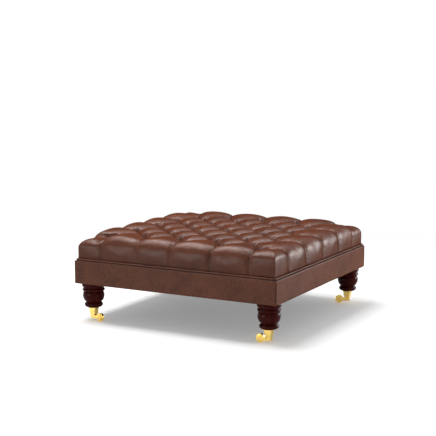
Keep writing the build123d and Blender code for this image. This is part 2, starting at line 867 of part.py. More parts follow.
for corner, turn in castor_turns.items():
    leg_x, leg_y = corner_place(corner)
    ahead = (math.cos(math.radians(turn)), math.sin(math.radians(turn)), 0)
    across = (ahead[1], -ahead[0], 0)
    wheel_x = leg_x + castor_trail * ahead[0]
    wheel_y = leg_y + castor_trail * ahead[1]
    upright = Plane(origin=(leg_x, leg_y, 0), x_dir=ahead, z_dir=across)
    wheel_plane = Plane(origin=(wheel_x, wheel_y, wheel_radius), x_dir=ahead, z_dir=across)

    with BuildPart() as horn:
        for height, side in ((horn_floor_gap, horn_bottom_side), (horn_top, horn_top_side)):
            with BuildSketch(Plane(origin=(leg_x, leg_y, height), x_dir=ahead, z_dir=(0, 0, 1))):
                RectangleRounded(side, side, horn_corner)
        loft()
        for side in (-1, 1):
            with BuildSketch(upright.offset(side * fork_inner)):
                with Locations((castor_trail, wheel_radius)):
                    Circle(fork_end_radius)
                with BuildLine():
                    Polyline(
                        (horn_bottom_side / 2 - fork_root_overlap, horn_floor_gap + fork_arm_height),
                        (castor_trail, wheel_radius + fork_arm_height / 2),
                        (castor_trail, wheel_radius - fork_arm_height / 2),
                        (horn_bottom_side / 2 - fork_root_overlap, horn_floor_gap),
                        close=True,
                    )
                make_face()
            extrude(amount=side * fork_thickness)
        with Locations((leg_x, leg_y, horn_floor_gap)):
            Cylinder(swivel_pin_radius + running_clearance, 2 * horn_top, mode=Mode.SUBTRACT)
            Cylinder(
                swivel_foot_radius + swivel_foot_clearance,
                recess_roof - horn_floor_gap,
                align=(Align.CENTER, Align.CENTER, Align.MIN),
                mode=Mode.SUBTRACT,
            )
        with Locations(wheel_plane):
            Cylinder(axle_radius + fixed_clearance, 2 * fork_outer + overrun, mode=Mode.SUBTRACT)
    save(horn, f"{corner}_horn")

    with BuildPart() as axle:
        with Locations(wheel_plane):
            Cylinder(axle_radius, 2 * fork_outer)
        for side in (-1, 1):
            with BuildSketch(wheel_plane.offset(side * fork_outer)):
                Circle(axle_head_radius)
            extrude(amount=side * axle_head_height, taper=axle_head_taper)
    save(axle, f"{corner}_axle")

    with BuildPart() as wheel:
        with Locations(wheel_plane):
            Cylinder(wheel_radius, wheel_width)
        rims = wheel.edges().filter_by(GeomType.CIRCLE)
        fillet(rims, radius=wheel_rim)
        for side in (-1, 1):
            with BuildSketch(wheel_plane.offset(side * wheel_width / 2)):
                Circle(wheel_dish_radius)
                Circle(wheel_hub_radius, mode=Mode.SUBTRACT)
            extrude(amount=-side * wheel_dish_depth, mode=Mode.SUBTRACT)
        with Locations(wheel_plane):
            Cylinder(axle_radius + running_clearance, wheel_width + overrun, mode=Mode.SUBTRACT)
    save(wheel, f"{corner}_wheel")
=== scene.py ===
# %% [markdown]
# # A square buttoned footstool
# The stool is a low hardwood box on four turned legs with brass castors. Its cushion is covered in brown
# leather, which is pulled down by 41 buttons in a diamond pattern. The engineering model of the stool is
# loaded first and its shapes are never changed: it says where every piece sits and how the castors turn.
# Around it this lesson models what the eye sees, one piece at a time. Lengths are metres, +Z is up and the
# front faces -Y.

import math
from types import SimpleNamespace

import bmesh
import bpy
import numpy as np
from mathutils import Euler, Matrix, Vector, noise


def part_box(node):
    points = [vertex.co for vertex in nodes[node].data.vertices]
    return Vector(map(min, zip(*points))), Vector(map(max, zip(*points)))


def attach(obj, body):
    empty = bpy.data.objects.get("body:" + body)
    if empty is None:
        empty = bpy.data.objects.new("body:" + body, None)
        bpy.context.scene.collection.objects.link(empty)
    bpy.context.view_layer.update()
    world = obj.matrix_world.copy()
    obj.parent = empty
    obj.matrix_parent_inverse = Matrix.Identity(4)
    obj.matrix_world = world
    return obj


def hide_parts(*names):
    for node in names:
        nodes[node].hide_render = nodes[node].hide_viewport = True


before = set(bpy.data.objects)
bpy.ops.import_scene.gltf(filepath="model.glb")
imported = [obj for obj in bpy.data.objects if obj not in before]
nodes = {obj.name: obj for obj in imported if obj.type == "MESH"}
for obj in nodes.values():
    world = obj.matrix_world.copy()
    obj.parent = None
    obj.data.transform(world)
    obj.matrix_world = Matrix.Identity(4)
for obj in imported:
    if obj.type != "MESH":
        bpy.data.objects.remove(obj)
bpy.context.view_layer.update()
corners = ("front_right", "front_left", "back_right", "back_left")

# %% [markdown]
# ## Camera
# The photograph looks down on one corner of the stool through a long lens, which keeps its sides almost
# parallel. A camera could be aimed at the stool by eye. Here its place, turn and lens were found by matching
# the corners of the base, so they are written as they were measured.

# %% Camera
camera_place = (2.172, -4.106, 1.0725)
camera_turn = 28.25
camera_dip = 8.21
camera_lens = 91.73


def add_object(name, data):
    """Puts a mesh, a lamp or a camera into the scene."""
    thing = bpy.data.objects.new(name, data)
    bpy.context.scene.collection.objects.link(thing)
    return thing


camera_data = bpy.data.cameras.new("camera")
camera_data.lens = camera_lens
camera_data.sensor_width = 36.0
camera = add_object("camera", camera_data)
camera.location = camera_place
camera.rotation_euler = Euler((math.radians(90 - camera_dip), 0, math.radians(camera_turn)))
bpy.context.scene.camera = camera
print("camera looks down", camera_dip, "degrees, turned", camera_turn)

# %% [markdown]
# ## Nodes for materials
# Each finish is a small network of nodes. A few helpers keep the recipes short: they add a node and set its
# sockets, make a noise or cell pattern in metres, and turn a pattern into a colour, a number or a bump.


# %% Node helpers
def new_material(name):
    material = bpy.data.materials.new(name)
    material.use_nodes = True
    material.node_tree.nodes.clear()
    output = material.node_tree.nodes.new("ShaderNodeOutputMaterial")
    return material, material.node_tree, output


def add_node(tree, kind, **sockets):
    """A node with its plain sockets set. A socket named with spaces is written with underscores."""
    node = tree.nodes.new(kind)
    for name, value in sockets.items():
        node.inputs[name.replace("_", " ")].default_value = value
    return node


def feed(tree, socket, value):
    """Links another node's socket to this one, or sets this one to a plain number or colour."""
    if isinstance(value, bpy.types.NodeSocket):
        tree.links.new(value, socket)
    elif isinstance(value, tuple):
        socket.default_value = (*value, 1)
    elif value is not None:
        socket.default_value = value


def add_math(tree, way, *values):
    node = tree.nodes.new("ShaderNodeMath")
    node.operation = way
    for socket, value in zip(node.inputs, values):
        feed(tree, socket, value)
    return node.outputs["Value"]


# %% Pattern helpers
def object_place(tree, stretch=(1, 1, 1), turn=(0, 0, 0)):
    """Object coordinates, stretched and turned as a pattern needs."""
    place = tree.nodes.new("ShaderNodeTexCoord")
    mapping = add_node(tree, "ShaderNodeMapping", Scale=stretch, Rotation=turn)
    tree.links.new(place.outputs["Object"], mapping.inputs["Vector"])
    return mapping.outputs["Vector"]


def noise_pattern(tree, place, scale, detail=3.0, roughness=0.5, distortion=0.0):
    node = add_node(tree, "ShaderNodeTexNoise", Scale=scale, Detail=detail, Roughness=roughness,
                    Distortion=distortion)
    tree.links.new(place, node.inputs["Vector"])
    return node.outputs["Fac"]


def cell_pattern(tree, place, scale):
    node = add_node(tree, "ShaderNodeTexVoronoi", Scale=scale)
    tree.links.new(place, node.inputs["Vector"])
    return node.outputs["Distance"]


def ramp(tree, value, stops):
    """A colour ramp through stops of (place, colour), where a grey may be one number."""
    node = tree.nodes.new("ShaderNodeValToRGB")
    while len(node.color_ramp.elements) < len(stops):
        node.color_ramp.elements.new(0.5)
    for element, (place, colour) in zip(node.color_ramp.elements, stops):
        element.position = place
        element.color = (colour, colour, colour, 1) if isinstance(colour, float) else (*colour, 1)
    tree.links.new(value, node.inputs["Fac"])
    return node.outputs["Color"]


def mix_colours(tree, share, first, second, way="MIX"):
    node = tree.nodes.new("ShaderNodeMix")
    node.data_type = "RGBA"
    node.blend_type = way
    for name, value in (("Factor", share), ("A", first), ("B", second)):
        feed(tree, node.inputs[name], value)
    return node.outputs["Result"]


def bump(tree, height, depth, below=None):
    """A bump of a real depth in metres, laid over another bump if one is given."""
    node = add_node(tree, "ShaderNodeBump", Strength=1.0, Distance=depth)
    tree.links.new(height, node.inputs["Height"])
    feed(tree, node.inputs["Normal"], below)
    return node.outputs["Normal"]


def surface(tree, output, colour, roughness, normal, **sockets):
    """The shader itself. Numbers that are the same all over are set on its own sockets."""
    shader = add_node(tree, "ShaderNodeBsdfPrincipled", **sockets)
    shader.distribution = "GGX"
    for name, value in (("Base Color", colour), ("Roughness", roughness), ("Normal", normal)):
        feed(tree, shader.inputs[name], value)
    tree.links.new(shader.outputs["BSDF"], output.inputs["Surface"])
    return shader


# %% [markdown]
# ## Floor and background
# The photograph has a plain white ground with a soft grey shadow. Stronger lamps would turn a grey floor
# white, but they would bleach the stool too. So the floor is matt white, and for the camera and in
# reflections it also glows a little: it ends up just white where nothing shades it, and the shadow stays.
# Further out, where no shadow reaches, it fades into plain white, and the world is white behind it.

# %% Background helpers
white = (1, 1, 1, 1)


def sees_background(tree):
    """1 for rays that see the white ground: those of the camera, and of metal, gloss and glass."""
    rays = tree.nodes.new("ShaderNodeLightPath").outputs
    mirrored = add_math(tree, "MAXIMUM", rays["Is Glossy Ray"], rays["Is Transmission Ray"])
    return add_math(tree, "MAXIMUM", rays["Is Camera Ray"], mirrored)


def blended(tree, first, second, share=None):
    """Two shaders mixed by a share, or added up where none is given."""
    node = tree.nodes.new("ShaderNodeAddShader" if share is None else "ShaderNodeMixShader")
    if share is not None:
        tree.links.new(share, node.inputs["Fac"])
    tree.links.new(first.outputs[0], node.inputs[-2])
    tree.links.new(second.outputs[0], node.inputs[-1])
    return node


# %% Floor
floor_half = 30.0
floor_grey = 0.88
floor_glow = 0.23
plain_floor_starts = 1.3
plain_floor_ends = 2.6
floor_grid = bmesh.new()
bmesh.ops.create_grid(floor_grid, x_segments=1, y_segments=1, size=floor_half)
floor_mesh = bpy.data.meshes.new("floor")
floor_grid.to_mesh(floor_mesh)
floor_grid.free()
floor = add_object("floor", floor_mesh)

floor_paint, tree, output = new_material("floor_paint")
matt = add_node(tree, "ShaderNodeBsdfDiffuse", Color=(floor_grey, floor_grey, floor_grey, 1))
glow = add_node(tree, "ShaderNodeEmission", Color=white, Strength=floor_glow)
plain = add_node(tree, "ShaderNodeEmission", Color=white, Strength=1.0)
from_middle = add_node(tree, "ShaderNodeVectorMath")
from_middle.operation = "LENGTH"
tree.links.new(object_place(tree), from_middle.inputs[0])
far_off = add_node(tree, "ShaderNodeMapRange", From_Min=plain_floor_starts, From_Max=plain_floor_ends)
far_off.interpolation_type = "SMOOTHSTEP"
tree.links.new(from_middle.outputs["Value"], far_off.inputs["Value"])
seen = blended(tree, blended(tree, matt, glow), plain, far_off.outputs["Result"])
whole = blended(tree, matt, seen, sees_background(tree))
tree.links.new(whole.outputs["Shader"], output.inputs["Surface"])
floor_mesh.materials.append(floor_paint)
print("floor", 2 * floor_half, "square, plain white from", plain_floor_ends, "outwards")

# %% World
room_strength = 0.50
world = bpy.data.worlds.new("studio")
bpy.context.scene.world = world
world.use_nodes = True
tree = world.node_tree
tree.nodes.clear()
room_light = add_node(tree, "ShaderNodeBackground", Color=white, Strength=room_strength)
white_ground = add_node(tree, "ShaderNodeBackground", Color=white, Strength=1.0)
whole = blended(tree, room_light, white_ground, sees_background(tree))
world_output = tree.nodes.new("ShaderNodeOutputWorld")
tree.links.new(whole.outputs["Shader"], world_output.inputs["Surface"])
bpy.context.scene.view_settings.view_transform = "Standard"
print("room light", room_strength)

# %% [markdown]
# ## Lamps
# One big soft lamp overhead gives the light and the shadow, and a strip lamp close to the floor lightens the
# right side without lighting the floor. The shine on the leather comes from other directions than its light,
# so it gets four lamps that only show in reflections: a bright window high on the left for the front edge, a
# skylight above for the slopes of the puffs, a soft panel behind on the right, where the right side gleams,
# and a weaker one in front on the left.


# %% Lamps
def add_lamp(name, place, aim, size, power, only_shine):
    """A flat lamp turned towards a point and hidden from the camera. It gives either light or shine."""
    lamp_data = bpy.data.lights.new(name, "AREA")
    lamp_data.shape = "RECTANGLE"
    lamp_data.size, lamp_data.size_y = size
    lamp_data.energy = power
    lamp = add_object(name, lamp_data)
    lamp.location = place
    lamp.rotation_euler = (Vector(aim) - Vector(place)).to_track_quat("-Z", "Y").to_euler()
    lamp.visible_camera = False
    lamp.visible_glossy = only_shine
    lamp.visible_diffuse = not only_shine


add_lamp("overhead", (-0.52, -0.15, 2.6), (-0.2, -0.1, 0.2), (1.8, 1.3), 70, only_shine=False)
add_lamp("floor_strip", (2.2, 1.5, 0.09), (0.45, 0.0, 0.24), (1.6, 0.14), 34, only_shine=False)
add_lamp("window", (-1.05, -0.20, 2.5), (-0.1, -0.25, 0.3), (1.7, 1.0), 80, only_shine=True)
add_lamp("skylight", (0.34, 0.56, 2.5), (0.0, 0.0, 0.35), (1.4, 1.2), 62, only_shine=True)
add_lamp("right_panel", (2.05, 2.3, 0.74), (0.45, 0.0, 0.30), (1.9, 1.0), 84, only_shine=True)
add_lamp("left_panel", (-1.85, -3.95, 0.70), (0.0, -0.45, 0.25), (1.6, 1.2), 56, only_shine=True)
print("lamps", len(bpy.data.lights))

# %% [markdown]
# ## Leather
# The hide is an aniline-dyed brown that was waxed and rubbed: warm red-brown where it is stretched, with a
# fine pebbled grain and faint cloudy patches. The folds get painted shade: a dark line is drawn into the
# colour along each pleat and round each well. A picture of leather would repeat itself and stretch over the
# puffs,
# so patterns draw it: one noise for the clouds, one for the mottling, and wrinkles, small cells and pores for
# the grain. Two things follow the upholstery, so the meshes carry them as attributes: how far a point is from
# the nearest fold, which draws the painted shade line of the pleat, and how far it is along that pleat, which
# gives the fine gathers that run out from it. The shine is a coat of wax, rubbed in unevenly. It is soft seen
# from above and fades where the leather is seen at a slant, so the coat is thinner and the leather below it
# rougher there.

# %% Leather recipe
# Width and darkness of the painted shade line that is drawn along the folds.
fold_width = (0.0006, 0.0030)
fold_shades = [(0.0, 1.0), (0.5, 0.55), (1.0, 0.16)]
gather_depth = 0.0012
wrinkle_depth, grain_depth, pore_depth = 0.0005, 0.00016, 0.00005
under_wax = 0.04
slanted_wax = 0.05
slant_starts, slant_ends = 0.52, 0.74


def carried(tree, name, output="Fac"):
    """What the mesh carries under that name."""
    node = tree.nodes.new("ShaderNodeAttribute")
    node.attribute_name = name
    return node.outputs[output]


def leather(name, light, middle, dark, roughness, mottling, wax):
    material, tree, output = new_material(name)
    place = object_place(tree)
    clouds = noise_pattern(tree, place, 9.0, 5.0, 0.62, 0.4)
    colour = ramp(tree, clouds, [(0.30, dark), (0.52, middle), (0.75, light)])
    specks = noise_pattern(tree, place, 160.0, 4.0, 0.7)
    mottle = ramp(tree, specks, [(0.35, mottling[0]), (0.65, mottling[1])])
    colour = mix_colours(tree, 1.0, colour, mottle, "MULTIPLY")
    # Painted shade: the colour is darkened in a thin line along each fold and round each well, as strongly as
    # the mesh asks.
    fold_shade_line = add_node(tree, "ShaderNodeMapRange", From_Min=fold_width[1], From_Max=fold_width[0])
    tree.links.new(carried(tree, "from_fold"), fold_shade_line.inputs["Value"])
    painted_fold_shade = add_math(tree, "MULTIPLY", fold_shade_line.outputs["Result"], carried(tree, "shade_and_seam_strength"))
    colour = mix_colours(tree, 1.0, colour, ramp(tree, painted_fold_shade, fold_shades), "MULTIPLY")
    wrinkles = noise_pattern(tree, place, 55.0, 6.0, 0.65, 1.4)
    rough = ramp(tree, wrinkles, [(0.3, roughness[0]), (0.7, roughness[1])])
    slant_view = add_node(tree, "ShaderNodeLayerWeight", Blend=0.5).outputs["Facing"]
    slanted = ramp(tree, slant_view, [(slant_starts, 0.0), (slant_ends, 1.0)])
    rough = mix_colours(tree, slanted, rough, (1.0, 1.0, 1.0))
    gathers = noise_pattern(tree, carried(tree, "gather", "Vector"), 1.0, 2.0, 0.55)
    gathers = add_math(tree, "MULTIPLY", gathers, carried(tree, "gather_share"))
    normal = bump(tree, gathers, gather_depth)
    normal = bump(tree, wrinkles, wrinkle_depth, normal)
    normal = bump(tree, cell_pattern(tree, place, 620.0), grain_depth, normal)
    normal = bump(tree, noise_pattern(tree, place, 1500.0, 2.0), pore_depth, normal)
    shader = surface(tree, output, colour, rough, normal, Specular_IOR_Level=under_wax,
                     Coat_Roughness=roughness[0])
    coat = ramp(tree, slant_view, [(slant_starts, wax), (slant_ends, wax * slanted_wax)])
    coat = mix_colours(tree, 1.0, coat, ramp(tree, wrinkles, [(0.3, 1.15), (0.7, 0.85)]), "MULTIPLY")
    tree.links.new(coat, shader.inputs["Coat Weight"])
    tree.links.new(normal, shader.inputs["Coat Normal"])
    return material


# %% The two leathers
seat_leather = leather(
    "waxed_seat_leather", light=(0.106, 0.028, 0.0102), middle=(0.088, 0.0225, 0.0080),
    dark=(0.064, 0.0158, 0.0053), roughness=(0.33, 0.44), mottling=(0.86, 1.10), wax=0.28)
border_leather = leather(
    "waxed_border_leather", light=(0.126, 0.0378, 0.0176), middle=(0.104, 0.0315, 0.0137),
    dark=(0.072, 0.0210, 0.0093), roughness=(0.46, 0.54), mottling=(0.66, 1.26), wax=0.22)
print("leathers", seat_leather.name, border_leather.name)

# %% [markdown]
# ## Pieces
# A finished piece is a mesh object at the origin, with its place in its vertices. It rides on the fixed body
# of the engineering model, takes one finish and stands for one of its nodes, which is hidden. The castors
# keep the model's own shapes.


# %% Piece helpers
def points_of(made):
    return [item for item in made if isinstance(item, bmesh.types.BMVert)]


def open_edges(shape):
    return [edge for edge in shape.edges if edge.is_boundary]


def push_out_rim(shape):
    """Adds a strip of faces along the open edges of a shape, and gives the new points."""
    return points_of(bmesh.ops.extrude_edge_only(shape, edges=open_edges(shape))["geom"])


def as_mesh(shape, name):
    mesh = bpy.data.meshes.new(name)
    shape.to_mesh(mesh)
    shape.free()
    return mesh


def add_piece(name, shape, material, stands_for):
    bmesh.ops.recalc_face_normals(shape, faces=shape.faces)
    mesh = as_mesh(shape, name)
    mesh.polygons.foreach_set("use_smooth", [True] * len(mesh.polygons))
    mesh.materials.append(material)
    piece = add_object(name, mesh)
    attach(piece, "root")
    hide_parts(stands_for)
    return piece


# %% [markdown]
# ## The buttoned seat
# On the bench a hide is laid over foam and wadding, and each button is drawn down with a twine, so the spare
# leather folds into straight pleats from button to button. From the outer buttons the pleats run straight out
# over the edge and down to the piping. Sculpting it by hand would take days and lose the order of the pleats,
# so the order of the bench is kept here. A grid stands for the hide, with its lines on the pleats. It is bent
# over the edges, drawn down at the buttons and pleats, and pinned there. Then a cloth simulation blows the
# leather up between the pins, as the wadding does.

# %% Seat sizes from the frame
cover_low, cover_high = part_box("tufted_cover")
buttons_low, buttons_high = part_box("cover_buttons")
button_radius = 0.0115
button_height = 0.0065
outer_row = buttons_high.x - button_radius
pitch = outer_row / 2
seat_half = cover_high.y
foot_height = cover_low.z
swell = 0.003
crest_height = cover_high.z - swell
well_floor = buttons_high.z - button_height
edge_radius = 0.046
print("pitch", round(pitch, 4), "seat half", round(seat_half, 4), "well floor", round(well_floor, 4))

# %% Grid of the hide
half_pitch_steps = 14
field_steps = 4 * half_pitch_steps
border_steps = 11
edge_steps = 10
wall_steps = 12
top_steps = field_steps + border_steps + edge_steps
cell = pitch / 2 / half_pitch_steps
shoulder = seat_half - edge_radius
border_cell = (shoulder - outer_row) / border_steps
wall_top = crest_height - edge_radius
wall_cell = (wall_top - foot_height) / wall_steps

hide = bmesh.new()
bmesh.ops.create_grid(hide, x_segments=2 * top_steps, y_segments=2 * top_steps, size=top_steps)
for _ in range(wall_steps):
    bmesh.ops.translate(hide, verts=push_out_rim(hide), vec=(0, 0, -1))


def splits_a_square(vertex):
    """Whether a slanting pleat, or the mitre of a corner, runs through this point of the grid."""
    x, y, down = (round(value) for value in vertex.co)
    if down < 0:
        return False
    if max(abs(x), abs(y)) <= field_steps:
        return (x + y) % (2 * half_pitch_steps) == 0 or (x - y) % (2 * half_pitch_steps) == 0
    return abs(x) == abs(y) and abs(x) >= field_steps + border_steps


bmesh.ops.connect_verts(hide, verts=[vertex for vertex in hide.verts if splits_a_square(vertex)])


def order(item):
    """A number for an edge or a face that only depends on which points it joins."""
    first, second, *others = sorted(vertex.index for vertex in item.verts)
    return (first * len(hide.verts) + second) * len(hide.verts) + (others[0] if others else 0)


# The operators leave edges and faces in a chance order, and a simulation rounds differently in another order
hide.verts.index_update()
hide.edges.sort(key=order)
hide.faces.sort(key=order)
print("hide of", len(hide.verts), "points and", len(hide.faces), "faces")

# %% [markdown]
# The grid's points are still whole steps. Now each gets its real place: flat in the middle, round over the
# edge, straight down the side. The way along the hide is kept too, because pleats are drawn on the hide.


# %% Bend the hide over the edge
def smooth_step(value, start, end):
    share = np.clip((value - start) / (end - start), 0, 1)
    return share * share * (3 - 2 * share)


def eased(first, second, value, start, end):
    """Goes smoothly from the first to the second while the value goes from start to end."""
    return first + (second - first) * smooth_step(value, start, end)


steps = np.array([vertex.co for vertex in hide.verts])
down_steps = -steps[:, 2]


def over_the_edge(step):
    """For grid steps from the middle: the place in plan, the way along the hide, the turn of the edge."""
    size = np.abs(step)
    flat = np.minimum(size, field_steps) * cell
    flat = flat + np.clip(size - field_steps, 0, border_steps) * border_cell
    turn = np.clip(size - field_steps - border_steps, 0, edge_steps) / edge_steps * math.pi / 2
    return np.sign(step) * (flat + edge_radius * np.sin(turn)), flat + edge_radius * turn, turn


plan_x, way_x, turn_x = over_the_edge(steps[:, 0])
plan_y, way_y, turn_y = over_the_edge(steps[:, 1])
at_side_x = np.abs(steps[:, 0]) == top_steps
at_side_y = np.abs(steps[:, 1]) == top_steps
way_x = way_x + np.where(at_side_x, down_steps * wall_cell, 0)
way_y = way_y + np.where(at_side_y, down_steps * wall_cell, 0)
print("hide", round(2 * float(way_x.max()), 3), "wide when flat")

# %% [markdown]
# The two edges meet in a mitre at each corner, where the wadding is thin, so the corners sink a little, each
# by its own amount. At its foot the leather is tucked in behind the piping.

# %% Corners and foot
mitre_sharpness = 4.0
corner_flatness = 0.32
corner_sinks = {(1, -1): 0.003, (-1, -1): 0.021, (1, 1): 0.018, (-1, 1): 0.012}
sink_starts, sink_ends = outer_row - 0.018, outer_row + 0.032
foot_tuck = 0.001
tuck_height = 0.012
drop_x = edge_radius * (1 - np.cos(turn_x))
drop_y = edge_radius * (1 - np.cos(turn_y))
drop = (drop_x ** mitre_sharpness + drop_y ** mitre_sharpness) ** (1 / mitre_sharpness)
at_corner = smooth_step(np.minimum(np.abs(plan_x), np.abs(plan_y)), sink_starts, sink_ends)
drop = drop * (1 - corner_flatness * at_corner)
for (sign_x, sign_y), corner_sink in corner_sinks.items():
    here = (plan_x * sign_x > 0) & (plan_y * sign_y > 0)
    drop = drop + here * corner_sink * at_corner
ring = crest_height - drop
height = ring + (foot_height - ring) * down_steps / wall_steps
tuck = foot_tuck * np.clip(1 - (height - foot_height) / tuck_height, 0, 1) ** 2 * (down_steps > 0)
plan_x = plan_x - np.sign(plan_x) * tuck * at_side_x
plan_y = plan_y - np.sign(plan_y) * tuck * at_side_y
print("corners sunk by", sorted(corner_sinks.values()))

# %% [markdown]
# No hand lays pleats quite straight. The table holds how far each pleat has wandered along its side by the
# time it reaches the piping. The five pleats of a side go from left to right as X or Y grows.

# %% Lean the side pleats
pleat_leans = {
    "front": (0.0, 0.0, -0.013, -0.006, -0.007),
    "right": (0.020, 0.022, 0.020, 0.018, 0.0),
    "back": (0.004, -0.006, 0.0, 0.008, -0.003),
    "left": (-0.005, 0.003, 0.007, -0.004, 0.0),
}
pleat_lines = [-seat_half] + [pitch * i for i in range(-2, 3)] + [seat_half]
over_edge = border_cell * border_steps


def leaning(side, beyond, along):
    way = np.interp(along, pleat_lines, [0, *pleat_leans[side], 0])
    return way * smooth_step(beyond, 0, over_edge + edge_radius)


out_x, out_y = way_x - outer_row, way_y - outer_row
lean_x = np.where(plan_y < 0, leaning("front", out_y, plan_x), leaning("back", out_y, plan_x))
lean_y = np.where(plan_x < 0, leaning("left", out_x, plan_y), leaning("right", out_x, plan_y))
plan_x, plan_y = plan_x + lean_x, plan_y + lean_y
for vertex, place in zip(hide.verts, zip(plan_x, plan_y, height)):
    vertex.co = place
hide.normal_update()
normals = np.array([vertex.normal for vertex in hide.verts])
print("bent to", round(float(plan_x.max()), 3), "by", round(float(height.max()), 3))

# %% [markdown]
# Next come the pleats and the buttons. For every point of the hide the script finds how far it is from the
# nearest button and from the nearest pleat, and from these two how deep it lies below the puffs. The pleats
# over the sides differ, as in the photograph: two tables say how deep each is and how dark the painted shade
# of its line is.

# %% Depth and painted line shade of the side pleats
side_strengths = {
    "front": (1.0, 0.55, 0.80, 1.05, 1.05),
    "right": (0.95, 0.80, 0.55, 0.45, 0.25),
    "back": (0.80, 1.10, 0.70, 1.00, 0.45),
    "left": (0.40, 1.00, 0.90, 0.90, 0.65),
}
# How dark the painted shade along each side pleat's line is.
side_line_shades = {
    "front": (0.75, 0.20, 0.30, 0.85, 0.90),
    "right": (1.00, 1.00, 0.40, 0.30, 0.12),
    "back": (0.60, 0.45, 0.55, 0.60, 0.50),
    "left": (0.50, 0.60, 0.55, 0.50, 0.45),
}


def of_side(table, line, low_side, high_side, sign):
    """What the table says for the pleat that runs out over a side."""
    index = np.round(line / pitch).astype(int) + 2
    low, high = (np.array(table[side])[index] for side in (low_side, high_side))
    return np.where(sign < 0, low, high)


# %% Distances to buttons and pleats
slant = math.sqrt(2)


def nearest(along, shift, least, most):
    """The nearest line of buttons, for rows that lie at whole pitches plus a shift."""
    return (np.clip(np.round(along / pitch - shift), least, most) + shift) * pitch


def to_straight(off, beyond, own_way):
    """The distance to a straight pleat, or to a slanting one that ends at the same button."""
    slanting = np.where((off > beyond) & (own_way <= outer_row), (off + beyond) / slant, off)
    return np.where(beyond > 0, np.minimum(off, slanting), np.inf)


def lay_out(along_x, along_y):
    """Where each point of the hide lies among the buttons and pleats, from its ways along the hide."""
    five_x, five_y = nearest(along_x, 0, -2, 2), nearest(along_y, 0, -2, 2)
    four_x, four_y = nearest(along_x, 0.5, -2, 1), nearest(along_y, 0.5, -2, 1)
    to_five = np.hypot(along_x - five_x, along_y - five_y)
    to_four = np.hypot(along_x - four_x, along_y - four_y)
    button_x = np.where(to_five < to_four, five_x, four_x)
    button_y = np.where(to_five < to_four, five_y, four_y)
    out_x, out_y = np.abs(along_x) - outer_row, np.abs(along_y) - outer_row
    rising, falling = (along_x + along_y) / pitch, (along_x - along_y) / pitch
    off_rising, off_falling = np.abs(rising - np.round(rising)), np.abs(falling - np.round(falling))
    to_pleat_x = to_straight(np.abs(along_x - five_x), out_y, np.abs(along_x))
    to_pleat_y = to_straight(np.abs(along_y - five_y), out_x, np.abs(along_y))
    in_field = (out_x <= 1e-6) & (out_y <= 1e-6)
    over_y = to_pleat_x <= to_pleat_y
    strength, pleat_line_shade = (
        np.where(over_y, of_side(table, five_x, "front", "back", along_y),
                 of_side(table, five_y, "left", "right", along_x)) for table in (side_strengths, side_line_shades))
    is_rising = off_rising < off_falling
    run_in_field = np.where(is_rising, along_x - along_y, along_x + along_y) / slant
    number_in_field = np.where(is_rising, np.round(rising), np.round(falling) + 20.0)
    number_outside = np.where(over_y, five_x, five_y) / pitch + np.sign(along_x + along_y) * 40
    to_slanting = np.minimum(off_rising, off_falling) * pitch / slant
    return SimpleNamespace(
        to_button=np.minimum(to_five, to_four), button_x=button_x, button_y=button_y,
        to_pleat=np.where(in_field, to_slanting, np.minimum(to_pleat_x, to_pleat_y)),
        beyond=np.maximum(np.maximum(out_x, out_y), 0),
        strength=strength, pleat_line_shade=pleat_line_shade,
        run=np.where(in_field, run_in_field, np.where(over_y, along_y, along_x)),
        number=np.where(in_field, number_in_field, number_outside),
    )


along_x, along_y = np.sign(plan_x) * way_x, np.sign(plan_y) * way_y
lines = lay_out(along_x, along_y)
on_pleat = lines.to_pleat < cell / 5
print("points on pleats", int(on_pleat.sum()))

# %% [markdown]
# A puff is fullest in its middle and falls steeply into the pleats, like a pillow. Its outline across is part
# of a rounded square, which is steeper at its ends than a circle. Near a button the pleats dive into a narrow
# well. On the sides the pleats grow shallow on their way down to the piping.

# %% Draw the hide down
well_depth = crest_height - well_floor
field_pleat, border_pleat, foot_pleat = 0.026, 0.014, 0.0026
well_radius, well_spread, well_opening = 0.0125, 0.010, 0.016
field_reach, border_reach, wall_reach = pitch / 2 / slant, pitch / 2, 0.048
crown, field_steepness, side_steepness = 2.0, 1.5, 1.45
shallow_share = 0.6
wall_way = over_edge + edge_radius * math.pi / 2
full_way = wall_way + wall_steps * wall_cell
beyond = lines.beyond
shallow_from = wall_way + (full_way - wall_way) * shallow_share
pleat = eased(field_pleat, border_pleat, beyond, 0, over_edge)
pleat = eased(pleat, foot_pleat, beyond, over_edge + edge_radius / 2, shallow_from)
pleat = pleat * eased(1, lines.strength, beyond, over_edge / 2, wall_way)
pleat_reach = eased(field_reach, border_reach, beyond, 0, over_edge)
pleat_reach = eased(pleat_reach, wall_reach, beyond, over_edge, wall_way)
across = np.clip(lines.to_pleat / pleat_reach, 0, 1)
steepness = eased(field_steepness, side_steepness, beyond, 0, over_edge)
puff = (1 - (1 - across) ** crown) ** (1 / steepness)
opening = smooth_step(lines.to_button, well_radius, well_radius + well_opening)
at_line = pleat + (well_depth - pleat) * np.exp(-np.maximum(lines.to_button - well_radius, 0) / well_spread)
depth = at_line * (1 - puff * opening)
places = np.stack([plan_x, plan_y, height], 1) - normals * depth[:, None]
for vertex, place in zip(hide.verts, places):
    vertex.co = place
print("deepest", round(float(depth.max()), 4))

